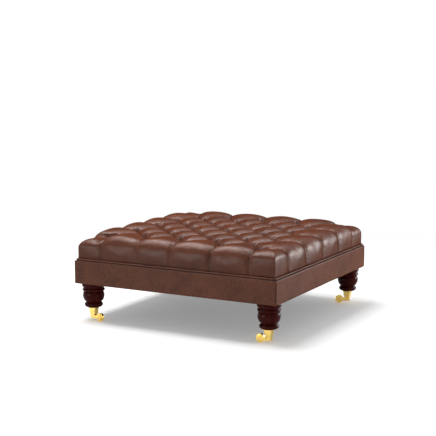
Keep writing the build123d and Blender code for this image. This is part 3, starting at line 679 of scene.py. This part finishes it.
# %% Pin and crease what is held down
held_rim = 0.001
held = on_pleat | (lines.to_button < well_radius + held_rim) | (down_steps == wall_steps)
pins = np.where(held | (at_side_x & at_side_y), 1.0, 0.0)
on_line = on_pleat & (lines.to_button > well_radius)
sharp = hide.edges.layers.float.new("crease_edge")
hide.verts.ensure_lookup_table()
for edge in hide.edges:
    first, second = (vertex.index for vertex in edge.verts)
    corner_seam = at_side_x[first] and at_side_y[first] and at_side_x[second] and at_side_y[second]
    if corner_seam or (on_line[first] and on_line[second]):
        edge[sharp] = 1.0
hide_mesh = as_mesh(hide, "seat_cover")
print("pinned", int(pins.sum()), "of", len(pins))

# %% [markdown]
# Blender's cloth solver blows the leather up between the pins. It has no gravity, a steady pressure from
# inside and a little more leather than the shape needs, so it swells and puckers. No point may move further
# than the cap, and the simulated object is taken away afterwards.


# %% Blow up the puffs
def read_vectors(items, field):
    """One vector of every item, such as the places of a mesh's points."""
    values = np.zeros(len(items) * 3, np.float32)
    items.foreach_get(field, values)
    return values.reshape(-1, 3).astype(float)


def inflate(mesh, pins, cap, frames=20):
    """How far each point moves in a short cloth simulation, which is never more than the cap."""
    sheet = add_object("simulated_hide", mesh)
    group = sheet.vertex_groups.new(name="pins")
    group.add([int(i) for i in np.nonzero(pins)[0]], 1.0, "REPLACE")
    cloth = sheet.modifiers.new("cloth", "CLOTH")
    settings = cloth.settings
    settings.quality = 6
    settings.mass = 0.02
    settings.tension_stiffness = 12
    settings.compression_stiffness = 12
    settings.shear_stiffness = 8
    settings.bending_stiffness = 4.0
    settings.use_pressure = True
    settings.uniform_pressure_force = 4.0
    settings.effector_weights.gravity = 0
    settings.vertex_group_mass = "pins"
    settings.shrink_min = -0.006
    cloth.collision_settings.use_collision = False
    cloth.point_cache.frame_start = 1
    cloth.point_cache.frame_end = frames
    for number in range(1, frames + 1):
        bpy.context.scene.frame_set(number)
    solved = sheet.evaluated_get(bpy.context.evaluated_depsgraph_get()).to_mesh()
    move = read_vectors(solved.vertices, "co") - read_vectors(mesh.vertices, "co")
    bpy.data.objects.remove(sheet)
    bpy.context.scene.frame_set(1)
    length = np.linalg.norm(move, axis=1)
    print("moved", np.percentile(length, (50, 90, 99, 100)).round(4))
    return move * np.minimum(1, cap / np.maximum(length, 1e-9))[:, None]


# %% [markdown]
# The leather on the sides is pulled taut over the edge, so the simulated swelling is evened out there, which
# takes away its loose folds, and less in the field. The grid is still coarse, six millimetres to a square.
# One level of subdivision rounds it, with the pleats and the corner seams kept sharp.

# %% Even out the swelling
swelling_cap = 0.012
field_rounds, side_rounds, last_rounds = 2, 12, 2
taut_from = 0.01


def evened(mesh, values, groups):
    """Values at the mesh's points, evened out between neighbours, some groups more than others."""
    even = bmesh.new()
    even.from_mesh(mesh)
    for vertex, value in zip(even.verts, values):
        vertex.co = value
    for rounds, group in groups:
        chosen = [vertex for vertex, wanted in zip(even.verts, group) if wanted]
        for _ in range(rounds):
            bmesh.ops.smooth_vert(even, verts=chosen, factor=0.5, use_axis_x=True, use_axis_y=True,
                                  use_axis_z=True)
    result = np.array([vertex.co for vertex in even.verts])
    even.free()
    return result


free = pins == 0
swelling = inflate(hide_mesh, pins, swelling_cap)
taut = free & (lines.beyond > taut_from)
places = places + evened(hide_mesh, swelling, [(field_rounds, free), (side_rounds, taut)])
places = evened(hide_mesh, places, [(last_rounds, free)])
hide_mesh.vertices.foreach_set("co", places.astype(np.float32).ravel())
print("evened", int(free.sum()), "free points")


# %% Round the leather
def store(mesh, name, values):
    """Writes one number, or one vector, to every point of the mesh."""
    kind, field = ("FLOAT", "value") if values.ndim == 1 else ("FLOAT_VECTOR", "vector")
    mesh.attributes.new(name, kind, "POINT").data.foreach_set(field, values.astype(np.float32).ravel())


def read_back(mesh, name):
    values = np.zeros(len(mesh.vertices), np.float32)
    mesh.attributes[name].data.foreach_get("value", values)
    return values.astype(float)


def subdivided(mesh, levels):
    """A copy of the mesh after Catmull-Clark subdivision, with its creases kept."""
    rough = add_object("rough_" + mesh.name, mesh)
    modifier = rough.modifiers.new("subdivision", "SUBSURF")
    modifier.levels = modifier.render_levels = levels
    smooth = bpy.data.meshes.new_from_object(rough.evaluated_get(bpy.context.evaluated_depsgraph_get()))
    bpy.data.objects.remove(rough)
    return smooth


store(hide_mesh, "along_x", along_x)
store(hide_mesh, "along_y", along_y)
seat_mesh = subdivided(hide_mesh, 1)
points = read_vectors(seat_mesh.vertices, "co")
point_normals = read_vectors(seat_mesh.vertex_normals, "vector")
along_x, along_y = read_back(seat_mesh, "along_x"), read_back(seat_mesh, "along_y")
lines = lay_out(along_x, along_y)
print("seat of", len(points), "points")

# %% [markdown]
# Now come the small things that a simulation at this size can't show: the puckers that run out from each
# button, the gathers beside the pleats and the soft unevenness of hand-laid wadding. Each button has its own
# number of puckers, which wander a little, so no two look the same.

# %% Puckers, gathers and unevenness
pucker_reach, pucker_height, least_puckers = 0.046, 0.0023, 8
gather_height = 0.0005
loose_height = 0.0011
wander_size, loose_size, fine_size = 0.022, 0.060, 0.011


def noise_at(points, size, seed):
    """Smooth noise from about -1 to 1 at each point, its waves of that size in metres."""
    shift = Vector((seed * 3.7, seed * 1.9, seed * 5.3))
    return np.array([noise.noise(Vector(point) / size + shift) for point in points])


angle = np.arctan2(along_y - lines.button_y, along_x - lines.button_x)
button_number = np.round(lines.button_x / pitch * 2) * 7 + np.round(lines.button_y / pitch * 2) * 13
puckers = least_puckers + button_number % 4
wander = noise_at(points, wander_size, 1)
loose = noise_at(points, loose_size, 2)
fine = noise_at(points, fine_size, 3)
near = smooth_step(lines.to_button, well_radius * 0.9, well_radius * 1.8)
near = near * (1 - smooth_step(lines.to_button, pucker_reach / 2.5, pucker_reach))
pucker = 1 - np.abs(np.sin(angle * puckers / 2 + button_number + wander * 1.3)) * 2
off_pleat = smooth_step(lines.to_pleat, 0.001, 0.008)
gather = smooth_step(lines.to_pleat, 0.002, 0.006) * (1 - smooth_step(lines.to_pleat, 0.008, 0.030))
rise = pucker_height * pucker * near * (0.6 + 0.4 * loose) + gather_height * gather * fine * 2
rise = (rise + loose_height * loose) * off_pleat
points = points + point_normals * rise[:, None]
seat_mesh.vertices.foreach_set("co", points.astype(np.float32).ravel())
print("puckers up to", round(float(rise.max()), 4))

# %% [markdown]
# The finer gathers are less than a grid square wide, so the material draws them. The mesh tells it how far
# each point is from its fold, how dark the painted shade of that fold is, and where along the pleat the point
# lies.

# %% Tell the leather where its folds are
gather_wave = 0.0042
gather_length = 0.030
side_calm = 0.75
side_share = smooth_step(lines.beyond, over_edge, full_way)
on_side = smooth_step(lines.beyond, over_edge / 2, wall_way)
gather_share = smooth_step(lines.to_pleat, 0.001, 0.005) * (1 - smooth_step(lines.to_pleat, 0.008, 0.034))
gather_share = gather_share * (1 - side_calm * side_share)
gather_place = np.stack([lines.run / gather_wave, lines.to_pleat / gather_length, lines.number * 3.3], 1)
store(seat_mesh, "from_fold", np.minimum(lines.to_pleat, np.maximum(lines.to_button - well_radius, 0)))
# Strength of the painted shade along the folds: full in the field, from the table on the sides.
store(seat_mesh, "shade_and_seam_strength", 1 - on_side + on_side * lines.pleat_line_shade)
store(seat_mesh, "gather", gather_place)
store(seat_mesh, "gather_share", gather_share)
print("gathers on", int((gather_share > 0.1).sum()), "points")

# %% [markdown]
# The cover is closed underneath, with the room for the foam block left open as on the real seat: its foot is
# turned in to the foam, then goes up round the foam and over it.

# %% Close the seat underneath
foam_low, foam_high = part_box("seat_foam")
foam_gap = 0.0004
foam_half = foam_high.x + foam_gap
shell = bmesh.new()
shell.from_mesh(seat_mesh)
for vertex in push_out_rim(shell):
    share = foam_half / max(abs(vertex.co.x), abs(vertex.co.y))
    vertex.co = (vertex.co.x * share, vertex.co.y * share, foot_height)
bmesh.ops.translate(shell, verts=push_out_rim(shell), vec=(0, 0, foam_high.z + foam_gap - foot_height))
bmesh.ops.holes_fill(shell, edges=open_edges(shell), sides=0)
seat_cover = add_piece("buttoned_seat", shell, seat_leather, "tufted_cover")
print("seat cover of", len(seat_cover.data.vertices), "points")

# %% [markdown]
# ## Foam block
# Under the wadding lies a block of cushion foam, with a hole for each button's twine. Its top is pressed in
# round the holes. Holes could be cut with a boolean, but that leaves ragged faces. Here a grid has a point at
# every button. Cutting those points off opens the holes, and the sheet is then pushed down to the deck, which
# gives the block its sides and the holes their walls.

# %% Grid of the foam
foam_steps = 6
twine_hole = 0.003
five_rows = [pitch * i for i in range(-2, 3)]
four_rows = [pitch * (i + 0.5) for i in range(-2, 2)]
button_places = [(x, y) for rows in (five_rows, four_rows) for x in rows for y in rows]
foam_half_steps = 5 * foam_steps


def foam_place(step):
    """Where a grid step lies: on the pitch of the buttons, and the last one at the block's side."""
    if abs(step) == foam_half_steps:
        return foam_high.x * step / foam_half_steps
    return step * pitch / 2 / foam_steps


block = bmesh.new()
bmesh.ops.create_grid(block, x_segments=2 * foam_half_steps, y_segments=2 * foam_half_steps,
                      size=foam_half_steps)
at_button = {(round(x / pitch * 2) * foam_steps, round(y / pitch * 2) * foam_steps) for x, y in button_places}
pierced = []
for vertex in block.verts:
    x, y = round(vertex.co.x), round(vertex.co.y)
    vertex.co = (foam_place(x), foam_place(y), foam_high.z)
    if (x, y) in at_button:
        pierced.append(vertex)
opened = bmesh.ops.bevel(block, geom=pierced, offset=twine_hole, affect="VERTICES", segments=3, profile=0.5,
                         material=-1)
bmesh.ops.delete(block, geom=opened["faces"], context="FACES")
print("foam sheet with", len(pierced), "holes")

# %% Foam block
foam_dent = 0.004
dent_reach = 0.014
foam_edge = 0.007
for vertex in block.verts:
    nearest_button = min(math.hypot(vertex.co.x - x, vertex.co.y - y) for x, y in button_places)
    vertex.co.z -= foam_dent * math.exp(-(nearest_button / dent_reach) ** 2)
pushed = bmesh.ops.extrude_face_region(block, geom=block.faces[:], use_keep_orig=True)["geom"]
for vertex in points_of(pushed):
    vertex.co.z = foam_low.z
outer = [edge for edge in block.edges if edge.calc_face_angle(0) > 1
         and all(max(abs(vertex.co.x), abs(vertex.co.y)) > foam_high.x - 1e-5 for vertex in edge.verts)]
bmesh.ops.bevel(block, geom=outer, offset=foam_edge, affect="EDGES", segments=3, profile=0.5, material=-1)

foam, tree, output = new_material("cushion_foam")
pores = cell_pattern(tree, object_place(tree), 700.0)
colour = ramp(tree, pores, [(0.0, (0.62, 0.55, 0.34)), (0.6, (0.84, 0.78, 0.56))])
surface(tree, output, colour, 0.95, bump(tree, pores, 0.0004), Specular_IOR_Level=0.2)
print("foam block of", len(block.verts), "points")
foam_block = add_piece("foam_block", block, foam, "seat_foam")

# %% [markdown]
# ## Buttons
# A covered button is a domed steel shell with leather pulled over it and gathered behind. A flattened sphere
# would be too round at its rim, so it is turned from a short profile, and its rim is given the small dents of
# the gathered leather. Each of the 41 is turned and tilted a little in its own way.

# %% One button
button_rim = 0.0018
button_sides = 20
rim_dents = 10
dent_depth = 0.00035
button_profile = [(0.0, button_height), (0.0040, button_height - 0.0003), (0.0075, button_height - 0.0014),
                  (0.0100, button_height - 0.0030), (button_radius, button_rim), (0.0108, 0.0), (0.0, 0.0)]


def lathe(profile, sides):
    """A profile of (radius, height) points spun about the Z axis into a closed shape."""
    turned = bmesh.new()
    line = [turned.verts.new((radius, 0, height)) for radius, height in profile]
    edges = [turned.edges.new(pair) for pair in zip(line, line[1:])]
    bmesh.ops.spin(turned, geom=line + edges, cent=(0, 0, 0), axis=(0, 0, 1), angle=2 * math.pi,
                   steps=sides, use_merge=True)
    bmesh.ops.remove_doubles(turned, verts=turned.verts, dist=1e-6)
    bmesh.ops.recalc_face_normals(turned, faces=turned.faces)
    return turned


one_button = lathe(button_profile, button_sides)
for vertex in one_button.verts:
    size = Vector((vertex.co.x, vertex.co.y, 0)).length
    if size > button_radius / 2:
        turn = math.atan2(vertex.co.y, vertex.co.x)
        vertex.co.z -= dent_depth * (1 + math.cos(turn * rim_dents)) * size / button_radius
button_mesh = as_mesh(one_button, "one_button")
print("button of", len(button_mesh.vertices), "points")

# %% All buttons
button_tilt = 0.10
button_lift = 0.001
buttons = bmesh.new()
for number, (x, y) in enumerate(button_places):
    start = len(buttons.verts)
    buttons.from_mesh(button_mesh)
    fresh = list(buttons.verts)[start:]
    lean = Euler((button_tilt * math.sin(number * 2.1), button_tilt * math.cos(number * 1.3), number))
    bmesh.ops.rotate(buttons, verts=fresh, cent=(0, 0, 0), matrix=lean.to_matrix())
    bmesh.ops.translate(buttons, verts=fresh, vec=(x, y, well_floor + button_lift))
add_piece("leather_buttons", buttons, seat_leather, "cover_buttons")
print("buttons", len(button_places))

# %% [markdown]
# ## Piping
# The piping is a cord wrapped in a strip of leather, whose flat tape is trapped between seat and base. A
# curve with a round bevel would do too. A circle that is run along each side and spun round each corner
# stays a plain mesh, whose points can then waver a little, as sewn piping does.

# %% Piping
piping_low, piping_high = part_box("piping")
piping_radius = 0.004
piping_corner = 0.0046
piping_sides = 14
waver_height, height_wave = 0.0007, 0.07
waver_out, out_wave = 0.0008, 0.05
piping_line = piping_high.x - piping_radius
piping_height = piping_high.z - piping_radius
run = 2 * (piping_line - piping_corner)
run_steps = 150
bead = bmesh.new()
start = Matrix.Translation((-run / 2, -piping_line, piping_height)) @ Matrix.Rotation(math.pi / 2, 4, "Y")
bmesh.ops.create_circle(bead, segments=piping_sides, radius=piping_radius, matrix=start)
edges = list(bead.edges)
for side in range(4):
    turn = Matrix.Rotation(side * math.pi / 2, 3, "Z")
    ahead = turn @ Vector((run / run_steps, 0, 0))
    for _ in range(run_steps):
        made = bmesh.ops.extrude_edge_only(bead, edges=edges)["geom"]
        fresh = points_of(made)
        edges = [edge for edge in made if isinstance(edge, bmesh.types.BMEdge)
                 and all(vertex in fresh for vertex in edge.verts)]
        bmesh.ops.translate(bead, verts=fresh, vec=ahead)
    pivot = turn @ Vector((run / 2, -piping_line + piping_corner, 0))
    made = bmesh.ops.spin(bead, geom=edges + fresh, cent=pivot, axis=(0, 0, 1), angle=math.pi / 2, steps=6)
    edges = [item for item in made["geom_last"] if isinstance(item, bmesh.types.BMEdge)]
bmesh.ops.remove_doubles(bead, verts=bead.verts, dist=1e-5)
# Painted shade: the underside of the bead, where it meets the base, is darkened in the colour.
shade_under_bead = bead.verts.layers.float.new("shade_and_seam_strength")
for vertex in bead.verts:
    vertex[shade_under_bead] = min(1, max(0, (piping_height - vertex.co.z) / piping_radius * 2 - 0.4))
    vertex.co.z += noise.noise(vertex.co / height_wave) * waver_height
    vertex.co.xy = vertex.co.xy * (1 + noise.noise(vertex.co / out_wave + Vector((9, 4, 2))) * waver_out)
add_piece("piping_bead", bead, border_leather, "piping")
print("piping", round(piping_line * 2, 3), "square")

# %% [markdown]
# ## Padded border of the base
# Four strips of leather over thin wadding cover the rails. Each is folded over the top and under the rail
# and meets the next in a seam at the corner. One closed ring would have no seams, so each strip is made by
# itself: one folded profile, pushed along its side, cut at 45 degrees at both ends, and rounded along its
# outer edges. Cuts across it give it points, so that it can be a little uneven and sink in at the seams.

# %% Profile of a border strip
border_low, border_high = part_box("front_border")
base_half = -border_low.y
base_bottom, base_top = border_low.z, border_high.z
rail_outer = base_half - 0.004
fold_thickness = 0.0015
top_fold = 0.025
under_fold = 0.015
edge_round = 0.0045
strip_profile = [
    (base_half, base_bottom), (base_half, base_top), (base_half - top_fold, base_top),
    (base_half - top_fold, base_top - fold_thickness), (rail_outer, base_top - fold_thickness),
    (rail_outer, base_bottom + fold_thickness), (base_half - under_fold, base_bottom + fold_thickness),
    (base_half - under_fold, base_bottom),
]


def cut(shape, place, normal, clear=False):
    """Cuts a whole shape along a plane, and throws away what lies in front of it if that is wanted."""
    whole = list(shape.verts) + list(shape.edges) + list(shape.faces)
    bmesh.ops.bisect_plane(shape, geom=whole, plane_co=place, plane_no=normal, clear_outer=clear)


def plain_strip():
    strip = bmesh.new()
    section = strip.faces.new([strip.verts.new((-base_half, -out, height)) for out, height in strip_profile])
    pushed = bmesh.ops.extrude_face_region(strip, geom=[section])["geom"]
    bmesh.ops.translate(strip, verts=points_of(pushed), vec=(2 * base_half, 0, 0))
    outer = [edge for edge in strip.edges if all(abs(vertex.co.y + base_half) < 1e-6 for vertex in edge.verts)
             and abs(edge.verts[0].co.x - edge.verts[1].co.x) > base_half]
    bmesh.ops.bevel(strip, geom=outer, offset=edge_round, affect="EDGES", segments=4, profile=0.5,
                    material=-1)
    for side in (-1, 1):
        cut(strip, (0, 0, 0), (side, 1, 0), clear=True)
    bmesh.ops.holes_fill(strip, edges=open_edges(strip), sides=0)
    return strip


# %% Border strips
end_cuts = (0.0015, 0.003, 0.006, 0.012)
long_cuts, high_cuts = 76, 9
uncut_end, uncut_rim = 0.02, 0.010
groove = 0.0022
unevenness, uneven_size = 0.0007, 0.09
pressed_in, rim_width = 0.0004, 0.02
# How dark the end seams are, and how dark the painted shade just under the piping is.
end_seam_strength, under_piping_shade = 0.6, 0.5


def border_strip(turn, seed):
    strip = plain_strip()
    cuts = [side * (base_half - distance) for distance in end_cuts for side in (-1, 1)]
    for x in cuts + list(np.linspace(-base_half + uncut_end, base_half - uncut_end, long_cuts)):
        cut(strip, (x, 0, 0), (1, 0, 0))
    for height in np.linspace(base_bottom + uncut_rim, base_top - uncut_rim, high_cuts):
        cut(strip, (0, 0, height), (0, 0, 1))
    for vertex in strip.verts:
        if vertex.co.y < -base_half + edge_round + 1e-4:
            to_end = base_half - abs(vertex.co.x)
            sunk = groove * math.exp(-max(to_end, 0) / groove)
            uneven = unevenness * noise.noise(vertex.co / uneven_size + Vector((seed, 0, 0)))
            to_rim = min(vertex.co.z - base_bottom, base_top - vertex.co.z)
            vertex.co.y += sunk + (uneven + pressed_in) * (0.4 + 0.6 * min(1, to_rim / rim_width))
    # The strip is darker along its end seams, and painted shade darkens it just under the piping.
    from_seam_or_piping = strip.verts.layers.float.new("from_fold")
    seam_and_shade_strength = strip.verts.layers.float.new("shade_and_seam_strength")
    for vertex in strip.verts:
        to_end, to_piping = base_half - abs(vertex.co.x), base_top - vertex.co.z - 0.001
        vertex[from_seam_or_piping] = max(min(to_end, to_piping), 0)
        vertex[seam_and_shade_strength] = end_seam_strength if to_end < to_piping else under_piping_shade
    bmesh.ops.rotate(strip, verts=strip.verts, cent=(0, 0, 0), matrix=Matrix.Rotation(turn, 3, "Z"))
    return strip


for number, side in enumerate(("front", "right", "back", "left")):
    strip = border_strip(number * math.pi / 2, number * 11.3)
    piece = add_piece(f"{side}_border_leather", strip, border_leather, f"{side}_border")
print("borders", round(base_half * 2, 3), "square")

# %% [markdown]
# ## Turned legs
# The legs are turned on a lathe from dark mahogany and French-polished. A profile spun about its axis is the
# natural way to make one: two beads under the base, a vase, a neck and a foot bead. Arcs are drawn through
# three points. The grain runs up the leg, so its noise is drawn out along Z.

# %% Leg finish
mahogany, tree, output = new_material("dark_mahogany")
place = object_place(tree, (1, 1, 0.12))
figure = noise_pattern(tree, place, 90.0, 5.0, 0.6, 1.2)
streaks = noise_pattern(tree, place, 420.0, 3.0, 0.6)
colour = ramp(tree, figure, [(0.30, (0.026, 0.0018, 0.0014)), (0.55, (0.042, 0.0034, 0.0024)),
                             (0.75, (0.062, 0.0070, 0.0040))])
colour = mix_colours(tree, 0.5, colour, ramp(tree, streaks, [(0.35, 0.6), (0.7, 1.15)]), "MULTIPLY")
rough = ramp(tree, figure, [(0.3, 0.16), (0.7, 0.27)])
surface(tree, output, colour, rough, bump(tree, streaks, 0.00006), Specular_IOR_Level=0.05)
print("leg finish", mahogany.name)


# %% Arcs of a profile
def arc_through(start, middle, end, count):
    """Points on the circle through three points, without the last."""
    (ax, ay), (bx, by), (cx, cy) = start, middle, end
    area = 2 * (ax * (by - cy) + bx * (cy - ay) + cx * (ay - by))
    a_square, b_square, c_square = ax * ax + ay * ay, bx * bx + by * by, cx * cx + cy * cy
    mid_x = (a_square * (by - cy) + b_square * (cy - ay) + c_square * (ay - by)) / area
    mid_y = (a_square * (cx - bx) + b_square * (ax - cx) + c_square * (bx - ax)) / area
    radius = math.hypot(ax - mid_x, ay - mid_y)
    first, by_way, last = (math.atan2(y - mid_y, x - mid_x) for x, y in (start, middle, end))
    sweep = (last - first) % (2 * math.pi)
    if (by_way - first) % (2 * math.pi) > sweep:
        sweep -= 2 * math.pi
    turns = [first + sweep * i / count for i in range(count)]
    return [(mid_x + radius * math.cos(turn), mid_y + radius * math.sin(turn)) for turn in turns]


def bead_arc(inner, outer, top, high, count):
    """The outline of a bead, from its top to its foot."""
    foot = (inner, top - high)
    return arc_through((inner, top), (outer, top - high / 2), foot, count) + [foot]


# %% Leg profile
leg_low, leg_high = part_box("front_right_leg")
cup_low, cup_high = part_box("front_right_castor_cup")
leg_top, leg_bottom = leg_high.z, cup_high.z
bead_1, bead_2 = (0.045, 0.048, 0.016), (0.042, 0.046, 0.013)
gap, neck_gap = 0.005, 0.003
vase_top_radius, vase_radius, neck_radius = 0.041, 0.044, 0.032
foot_bead, foot_edge, foot_bead_height, foot_radius = 0.038, 0.027, 0.018, 0.024
ankle = 0.003
leg_sides = 72
top = leg_top
profile = [(0.0, top)] + bead_arc(bead_1[0], bead_1[1], top, bead_1[2], 10)
top -= bead_1[2]
profile += [(0.0425, top - 0.0006), (0.0415, top - gap / 2), (0.0420, top - gap)]
top -= gap
profile += bead_arc(bead_2[0], bead_2[1], top, bead_2[2], 9)
top -= bead_2[2]
profile += [(0.0395, top - 0.0008), (0.0392, top - neck_gap + 0.0006)]
top -= neck_gap
vase_bottom = leg_bottom + ankle + foot_bead_height + neck_gap
vase_middle = (top + vase_bottom) / 2
profile += arc_through((vase_top_radius, top), (vase_radius, vase_middle), (neck_radius, vase_bottom), 16)
foot_top = vase_bottom - neck_gap
profile += [(neck_radius, vase_bottom), (0.0312, vase_bottom - neck_gap / 2), (0.0320, foot_top)]
profile += arc_through((neck_radius + 0.0005, foot_top), (foot_bead, foot_top - foot_bead_height / 2),
                       (foot_edge, foot_top - foot_bead_height), 10)
profile += [(foot_edge, leg_bottom + ankle), (foot_radius, leg_bottom), (0.0, leg_bottom)]
leg_mesh = as_mesh(lathe(profile, leg_sides), "one_leg")
print("leg profile of", len(profile), "points")

# %% Four legs
sharp_turn = math.radians(50)
for corner in corners:
    low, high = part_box(f"{corner}_leg")
    leg = bmesh.new()
    leg.from_mesh(leg_mesh)
    bmesh.ops.translate(leg, verts=leg.verts, vec=((low.x + high.x) / 2, (low.y + high.y) / 2, 0))
    for edge in leg.edges:
        edge.smooth = edge.calc_face_angle(0) < sharp_turn
    add_piece(f"{corner}_turned_leg", leg, mahogany, f"{corner}_leg")
print("legs", round(leg_top - leg_bottom, 3), "high")

# %% [markdown]
# ## Castors
# The castors are cast and turned brass, polished. Their shapes are already right in the engineering model, so
# they keep them and only get their metal. Polished metal is never even, so clouds make it duller in places.


# %% Brass and steel
def metal(name, base, dark, roughness, scratch):
    material, tree, output = new_material(name)
    clouds = noise_pattern(tree, object_place(tree), 60.0, 4.0, 0.6)
    scratches = noise_pattern(tree, object_place(tree, (1, 1, 6)), 700.0, 3.0)
    colour = ramp(tree, clouds, [(0.3, dark), (0.6, base)])
    rough = ramp(tree, clouds, [(0.3, roughness + 0.08), (0.65, roughness)])
    surface(tree, output, colour, rough, bump(tree, scratches, scratch), Metallic=1.0)
    return material


def dress(material, *names):
    """Gives nodes of the engineering model their finish."""
    for name in names:
        nodes[name].data.materials.clear()
        nodes[name].data.materials.append(material)


brass = metal("polished_brass", (0.97, 0.70, 0.215), (0.93, 0.63, 0.16), 0.16, 0.00001)
steel = metal("zinc_plated_steel", (0.62, 0.62, 0.64), (0.50, 0.50, 0.52), 0.30, 0.00002)
for corner in corners:
    dress(brass, f"{corner}_castor_cup", f"{corner}_horn", f"{corner}_axle", f"{corner}_wheel")
dress(brass, "cup_screws", "swivel_pins", "swivel_washers")
dress(steel, "deck_screws", "block_screws", "hanger_bolts", "leg_nuts", "dust_cover_staples", "twine_washers")
print("castors dressed")

# %% [markdown]
# ## Dust cover
# Black non-woven cloth closes the underside. It is stapled all round and hangs a little between the staples.
# It is stretched, so it needs no simulation: a gently pressed grid shows it well enough.

# %% Cloth of the dust cover
cloth, tree, output = new_material("black_dust_cloth")
place = object_place(tree)
weave = noise_pattern(tree, place, 900.0, 4.0, 0.7)
patches = noise_pattern(tree, place, 14.0, 4.0, 0.6)
colour = ramp(tree, patches, [(0.3, (0.014, 0.014, 0.015)), (0.7, (0.026, 0.026, 0.028))])
colour = mix_colours(tree, 0.5, colour, ramp(tree, weave, [(0.35, 0.6), (0.65, 1.3)]), "MULTIPLY")
surface(tree, output, colour, 0.92, bump(tree, weave, 0.0002), Specular_IOR_Level=0.25)
print("cloth", cloth.name)

# %% Dust cover
dust_low, dust_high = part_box("dust_cover")
dust_half = dust_high.x
cloth_thickness = 0.0004
cloth_lift = 0.0006
middle_sag, uneven_sag, sag_wave = 0.0030, 0.0008, 0.12
dust_steps = 90
dust = bmesh.new()
bmesh.ops.create_grid(dust, x_segments=dust_steps, y_segments=dust_steps, size=dust_half)
for vertex in dust.verts:
    edge_share = 1 - max(abs(vertex.co.x), abs(vertex.co.y)) / dust_half
    sag = middle_sag * min(1, edge_share * 4) + uneven_sag * noise.noise(vertex.co / sag_wave)
    vertex.co.z = dust_low.z + cloth_lift - sag * min(1, edge_share * 12)
bmesh.ops.solidify(dust, geom=dust.faces[:], thickness=cloth_thickness)
dust_cloth = add_piece("dust_cloth", dust, cloth, "dust_cover")
print("dust cover", round(dust_half * 2, 3), "square")

# %% [markdown]
# ## Hidden frame
# What the leather hides is finished too, because the stool can be taken apart: planed beech rails and blocks,
# a plywood deck and the waxed twines. The grain follows the length of each rail, so the beech comes in two
# directions.


# %% Frame finishes
def timber(name, light, dark, grain_stretch):
    material, tree, output = new_material(name)
    place = object_place(tree, grain_stretch)
    rings = noise_pattern(tree, place, 60.0, 5.0, 0.6, 2.0)
    fibres = noise_pattern(tree, place, 700.0, 3.0)
    colour = ramp(tree, rings, [(0.3, dark), (0.6, light)])
    colour = mix_colours(tree, 0.35, colour, ramp(tree, fibres, [(0.3, 0.7), (0.7, 1.1)]), "MULTIPLY")
    surface(tree, output, colour, ramp(tree, rings, [(0.3, 0.62), (0.7, 0.5)]), bump(tree, fibres, 0.0001))
    return material


beech_tones = (0.62, 0.42, 0.24), (0.48, 0.30, 0.16)
beech_along_x = timber("beech_along_x", *beech_tones, (0.08, 1, 1))
beech_along_y = timber("beech_along_y", *beech_tones, (1, 0.08, 1))
plywood = timber("plywood_face", (0.66, 0.48, 0.28), (0.54, 0.37, 0.20), (0.10, 1, 1))
dress(beech_along_x, "front_rail", "back_rail", "front_cross_rail", "back_cross_rail", "rail_dowels")
dress(beech_along_y, "left_rail", "right_rail", *(f"{corner}_block" for corner in corners))
dress(plywood, "deck_board")

twine, tree, output = new_material("waxed_twine")
strands = noise_pattern(tree, object_place(tree, (1, 1, 0.5), (0, 0.6, 0)), 1400.0, 2.0)
colour = ramp(tree, strands, [(0.3, (0.42, 0.33, 0.18)), (0.7, (0.62, 0.53, 0.34))])
surface(tree, output, colour, 0.6, bump(tree, strands, 0.0002))
dress(twine, "button_twines")
print("frame dressed")
